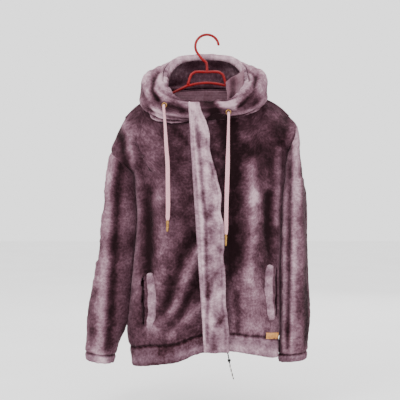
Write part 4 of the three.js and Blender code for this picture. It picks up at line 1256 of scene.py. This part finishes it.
# A strip sewn on along its right edge, piped and top-stitched all round, nearer to the chest above.
def frontFlap():
    width, thick = 61, 6
    u, v = np.meshgrid(np.linspace(0, 1, 36), np.linspace(0, 1, 260))
    top, low = np.array([-46, -87, -177]), np.array([-8, -100, -772])
    grid = top + (low - top) * v[..., None]
    wavy = 3.2 * lumps(v * 595, 0 * v, 37, 44) * smoothStep(0.2, 1, u)
    wavy = wavy * smoothStep(0, 0.05, v) * smoothStep(1, 0.9, v)
    nearer = 9 * smoothStep(0.55, 0.2, v) * smoothStep(0.06, 0.17, v)
    grid[..., 0] += 1 + width * flapNarrow(v) * u + wavy
    grid[..., 1] += nearer - thick / 2 - 2.5 * np.sin(pi * u)
    x, z = grid[..., 0], grid[..., 2]
    rise, tone = strokes(x, z, flapFolds)
    edge = np.minimum(u, 1 - u) * width * flapNarrow(v)
    piping = 1.6 * bell(edge - 2.5, 2) - 1.5 * bell(edge - 7, 1.6)
    lumpy = 3.4 * lumps(x, z * 0.8, 17, 41) + 1.9 * lumps(x, z, 9, 42)
    lift = rise * 0.8 + piping + lumpy * smoothStep(0, 8, edge) + 0.35 * lumps(x, z, 3.2, 43)
    fade = smoothStep(0, 6, edge) * smoothStep(0, 0.012, np.minimum(v, 1 - v))
    lift = np.clip(lift, -3, 7) * (0.35 + 0.65 * fade)
    # Painted light on the ridges, lumps and piping and painted shade in the creases and the stitch groove,
    # with the flap's base tone raised by 0.26.
    shade = 0.26 + 0.9 * tone + 0.06 * lumpy + 0.05 * piping
    made = clothPanel("frontFlap", grid, thick, -1, lift, shade, seed=64, roll=0.5)
    finishPiece(made, plushTrim, "front_flap", ["front_flap"])
    return made


# ---- zip ----
zipFoot = np.array([zipBottom[0], cloth / 2 - body["frontHem"], zipBottom[1]])
zipHead = np.array([zipTop[0], cloth / 2 - body["frontTop"], zipTop[1]])
zipUp = unit(zipHead - zipFoot)
zipAcross = unit(np.cross((0, -1, 0), zipUp))
zipAcross = zipAcross if zipAcross[0] > 0 else -zipAcross
zipBack = np.cross(zipUp, zipAcross)
zipBack = zipBack if zipBack[1] > 0 else -zipBack
zipLength = np.linalg.norm(zipHead - zipFoot)


# A place in the zip's own frame, whose origin is its foot.
def inZip(across, back, up):
    return (zipFoot + np.asarray(across)[..., None] * zipAcross + np.asarray(back)[..., None] * zipBack
            + np.asarray(up)[..., None] * zipUp)


def zipTape(name, sign):
    across, up = np.meshgrid(np.linspace(4.8, 18.8, 10), np.linspace(6, zipLength - 6, 200))
    place = inZip(sign * across, 5.15 + 0.08 * np.sin(up / 9), up)
    made = clothPanel(f"{name}ZipTape", place, 0.5, -sign, seed=65)
    finishPiece(made, wovenZipTape, "jacket", [f"{name}_zip_tape"])
    return made


# Moulded teeth every 3.2 mm, each a small lozenge on a bead, and the two rows meet half a pitch apart.
def zipTeeth(name, sign):
    profile = np.array([(0.2, 0.55), (1.2, 1.0), (2.6, 0.62), (4.2, 0.75)])
    corner = np.array([(-1, -1), (1, -1), (1, 1), (-1, 1)])
    pitch = 3.2
    places = np.arange(12, zipLength - 14, pitch) + (pitch / 2 if sign > 0 else 0)
    rings = np.array([[(p[0], q[0] * 1.05, q[1] * p[1] * 1.15) for q in corner] for p in profile])
    one = rings.reshape(-1, 3)
    allPoints = inZip(sign * np.tile(one[:, 0], (len(places), 1)), np.tile(one[:, 1], (len(places), 1)),
                      places[:, None] + one[None, :, 2]).reshape(-1, 3)
    face = gridQuads(4, 4, True)
    face = np.concatenate([face, [[3, 2, 1, 0]], [[12, 13, 14, 15]]])
    quads = (face[None] + 16 * np.arange(len(places))[:, None, None]).reshape(-1, 4)
    made = meshFrom(f"{name}ZipTeeth", allPoints, quads, uv=allPoints[:, [0, 2]],
                    tone=np.zeros(len(allPoints)))
    made.data.polygons.foreach_set("use_smooth", np.zeros(len(quads), bool))
    up = np.linspace(5, zipLength - 5, 60)
    bead = sweptTube(f"{name}ZipBead", inZip(0 * up + sign * 3.7, 0 * up, up), 0.85, 1.1, 10)
    finishPiece(bead, zipPlastic, "jacket", [])
    finishPiece(made, zipPlastic, "jacket", [f"{name}_zip_teeth"])


# ---- brass eyelets ----
eyeletSpots = {"right": ((-103.4, -73.4, -180.9), (-0.22, -0.98, -0.02)),
               "left": ((50.9, -75.6, -197.4), (0.07, -0.94, -0.34))}


def eyelet(name):
    centre, facing = (np.array(p, float) for p in eyeletSpots[name])
    facing = unit(facing)
    across = unit(np.cross(facing, (0, 0, 1)))
    up = np.cross(across, facing)
    t = np.linspace(0, 2 * pi, 48, endpoint=False)
    path = centre + 5.4 * (np.cos(t)[:, None] * across + np.sin(t)[:, None] * up) + facing * 1.4
    made = sweptTube(f"{name}Eyelet", path, 1.5, 1.3, 16, wide=facing, closed=True)
    finishPiece(made, brass, "jacket", [f"{name}_eyelet"])


# ---- hanger ----
rod = 6.6
hanger = dict(hookRadius=25.8, loopTop=-90, halfTop=36, loopFoot=-119, halfFoot=47, span=157,
              drop=58, arch=5)


# A round moulded rod with a thin parting line along both sides.
def hangerRod(name, stations, replaced, count):
    path = splineThrough(stations, np.linspace(0, 1, count))
    angle = np.linspace(0, 2 * pi, 28, endpoint=False)
    ring = np.tile(1 + 0.035 * bell(np.sin(angle), 0.12), (count, 1))
    made = sweptTube(name, path, rod / 2, rod / 2, 28, wide=(0, 1, 0), ring=ring)
    return finishPiece(made, redPlastic, "jacket", [replaced])


def makeHanger():
    middle = hanger["hookRadius"] + rod / 2
    turn = np.radians(np.linspace(9, 217, 15))
    hook = [(middle * np.cos(a), 0, -hanger["hookRadius"] + middle * np.sin(a)) for a in turn]
    hook += [(-10.5, 0, -59), (-2.5, 0, -66), (0, 0, -76), (0, 0, hanger["loopTop"] + rod / 2)]
    hangerRod("hangerHook", hook, "hanger_hook", 220)
    top, half, foot, halfFoot = hanger["loopTop"], hanger["halfTop"], hanger["loopFoot"], hanger["halfFoot"]
    bend = [(half - 8, 0, top), (half, 0, top - 4), (half + 4, 0, top - 8), (halfFoot, 0, foot)]
    loop = [*[(-x, y, z) for x, y, z in reversed(bend)], (0, 0, top), *bend]
    hangerRod("hangerLoop", loop, "hanger_loop", 160)
    inset, low = halfFoot - rod / 2 - seamGap - 4, foot - rod / 2
    ends = np.linspace(-inset - 4.5, inset + 4.5, 7)
    bar = [(x, 0, low + hanger["arch"] * (1 - (x / inset) ** 2)) for x in ends]
    hangerRod("hangerBar", bar, "hanger_bar", 60)
    for name, sign in (("right", -1), ("left", 1)):
        start = np.array([sign * (halfFoot + rod * 0.35), 0, foot - rod / 2 - 2])
        end = np.array([sign * hanger["span"], 0, foot - hanger["drop"]])
        hangerRod(f"hanger{name.title()}Arm", [lerp(start, end, f) for f in (0, 0.25, 0.5, 0.75, 0.99)],
                  f"hanger_{name}_arm", 80)


sleeves = {name: sleevePieces(name, side) for name, side in sides.items()}
print("sleeves made")
hoods = {name: hoodPieces(name, side) for name, side in sides.items()}
facing = neckFacing()
innerFold = liningFold()
flap = frontFlap()
tapes = {name: zipTape(name, side["sign"]) for name, side in sides.items()}
for name, side in sides.items():
    zipTeeth(name, side["sign"])
    eyelet(name)
makeHanger()
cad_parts["zip_slider"].data.materials.clear()
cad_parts["zip_slider"].data.materials.append(zipPlastic)
print("hood, flap, zip and hanger made")


# ---- what each cloth is cut from ----
# Half the surface of a piece with two faces, in square metres.
def area(made):
    mesh = made.data
    areas = np.zeros(len(mesh.polygons))
    mesh.polygons.foreach_get("area", areas)
    return areas.sum() / 2


# Without a cut, the cloth is the whole flat rectangle.
def declareSheet(made, flat, held, restsOn, cut=None):
    cut = cut or flat[0] * flat[1]
    print(made.name, "surface", round(area(made), 4), "of a flat", round(cut, 4))


# Flat width and length in metres, then the area of the cut where it isn't the whole rectangle.
hangerNames = ["hangerLoop", "hangerRightArm", "hangerLeftArm"]
flats = {
    "right": {"front": (0.27, 0.60, 0.118), "hem": (0.26, 0.048, 0.0108), "bag": (0.085, 0.175, 0.0141),
              "sleeve": (0.30, 0.50, 0.111), "cuff": (0.21, 0.024),
              "panel": (0.36, 0.26, 0.0595), "casing": (0.36, 0.055)},
    "left": {"front": (0.25, 0.60, 0.107), "hem": (0.18, 0.048, 0.0073), "bag": (0.085, 0.175, 0.0148),
             "sleeve": (0.30, 0.52, 0.109), "cuff": (0.18, 0.024),
             "panel": (0.36, 0.26, 0.0582), "casing": (0.36, 0.055)},
}
for name in sides:
    flat = flats[name]
    front, hem = bodyPieces[name]
    sleeve, cuff = sleeves[name]
    panel, casing = hoods[name]
    for made, key, held, restsOn in (
            (front, "front", "hung", hangerNames), (hem, "hem", "hung", hangerNames),
            (bags[name], "bag", "hung", [front.name]), (sleeve, "sleeve", "hung", hangerNames),
            (cuff, "cuff", "hung", [sleeve.name]), (panel, "panel", "draped", hangerNames),
            (casing, "casing", "gathered", [panel.name])):
        declareSheet(made, flat[key][:2], held, restsOn, *flat[key][2:])
    declareSheet(tapes[name], (0.014, 0.53), "stretched", [front.name])
declareSheet(backPieces[0], (0.50, 0.66), "hung", hangerNames, 0.244)
declareSheet(backPieces[1], (0.46, 0.048), "hung", hangerNames, 0.0185)
declareSheet(facing, (0.19, 0.066), "stretched", [backPieces[0].name], 0.0095)
declareSheet(innerFold, (0.06, 0.085), "draped", [hoods["left"][1].name])
declareSheet(flap, (0.062, 0.60), "hung", [bodyPieces["right"][0].name])
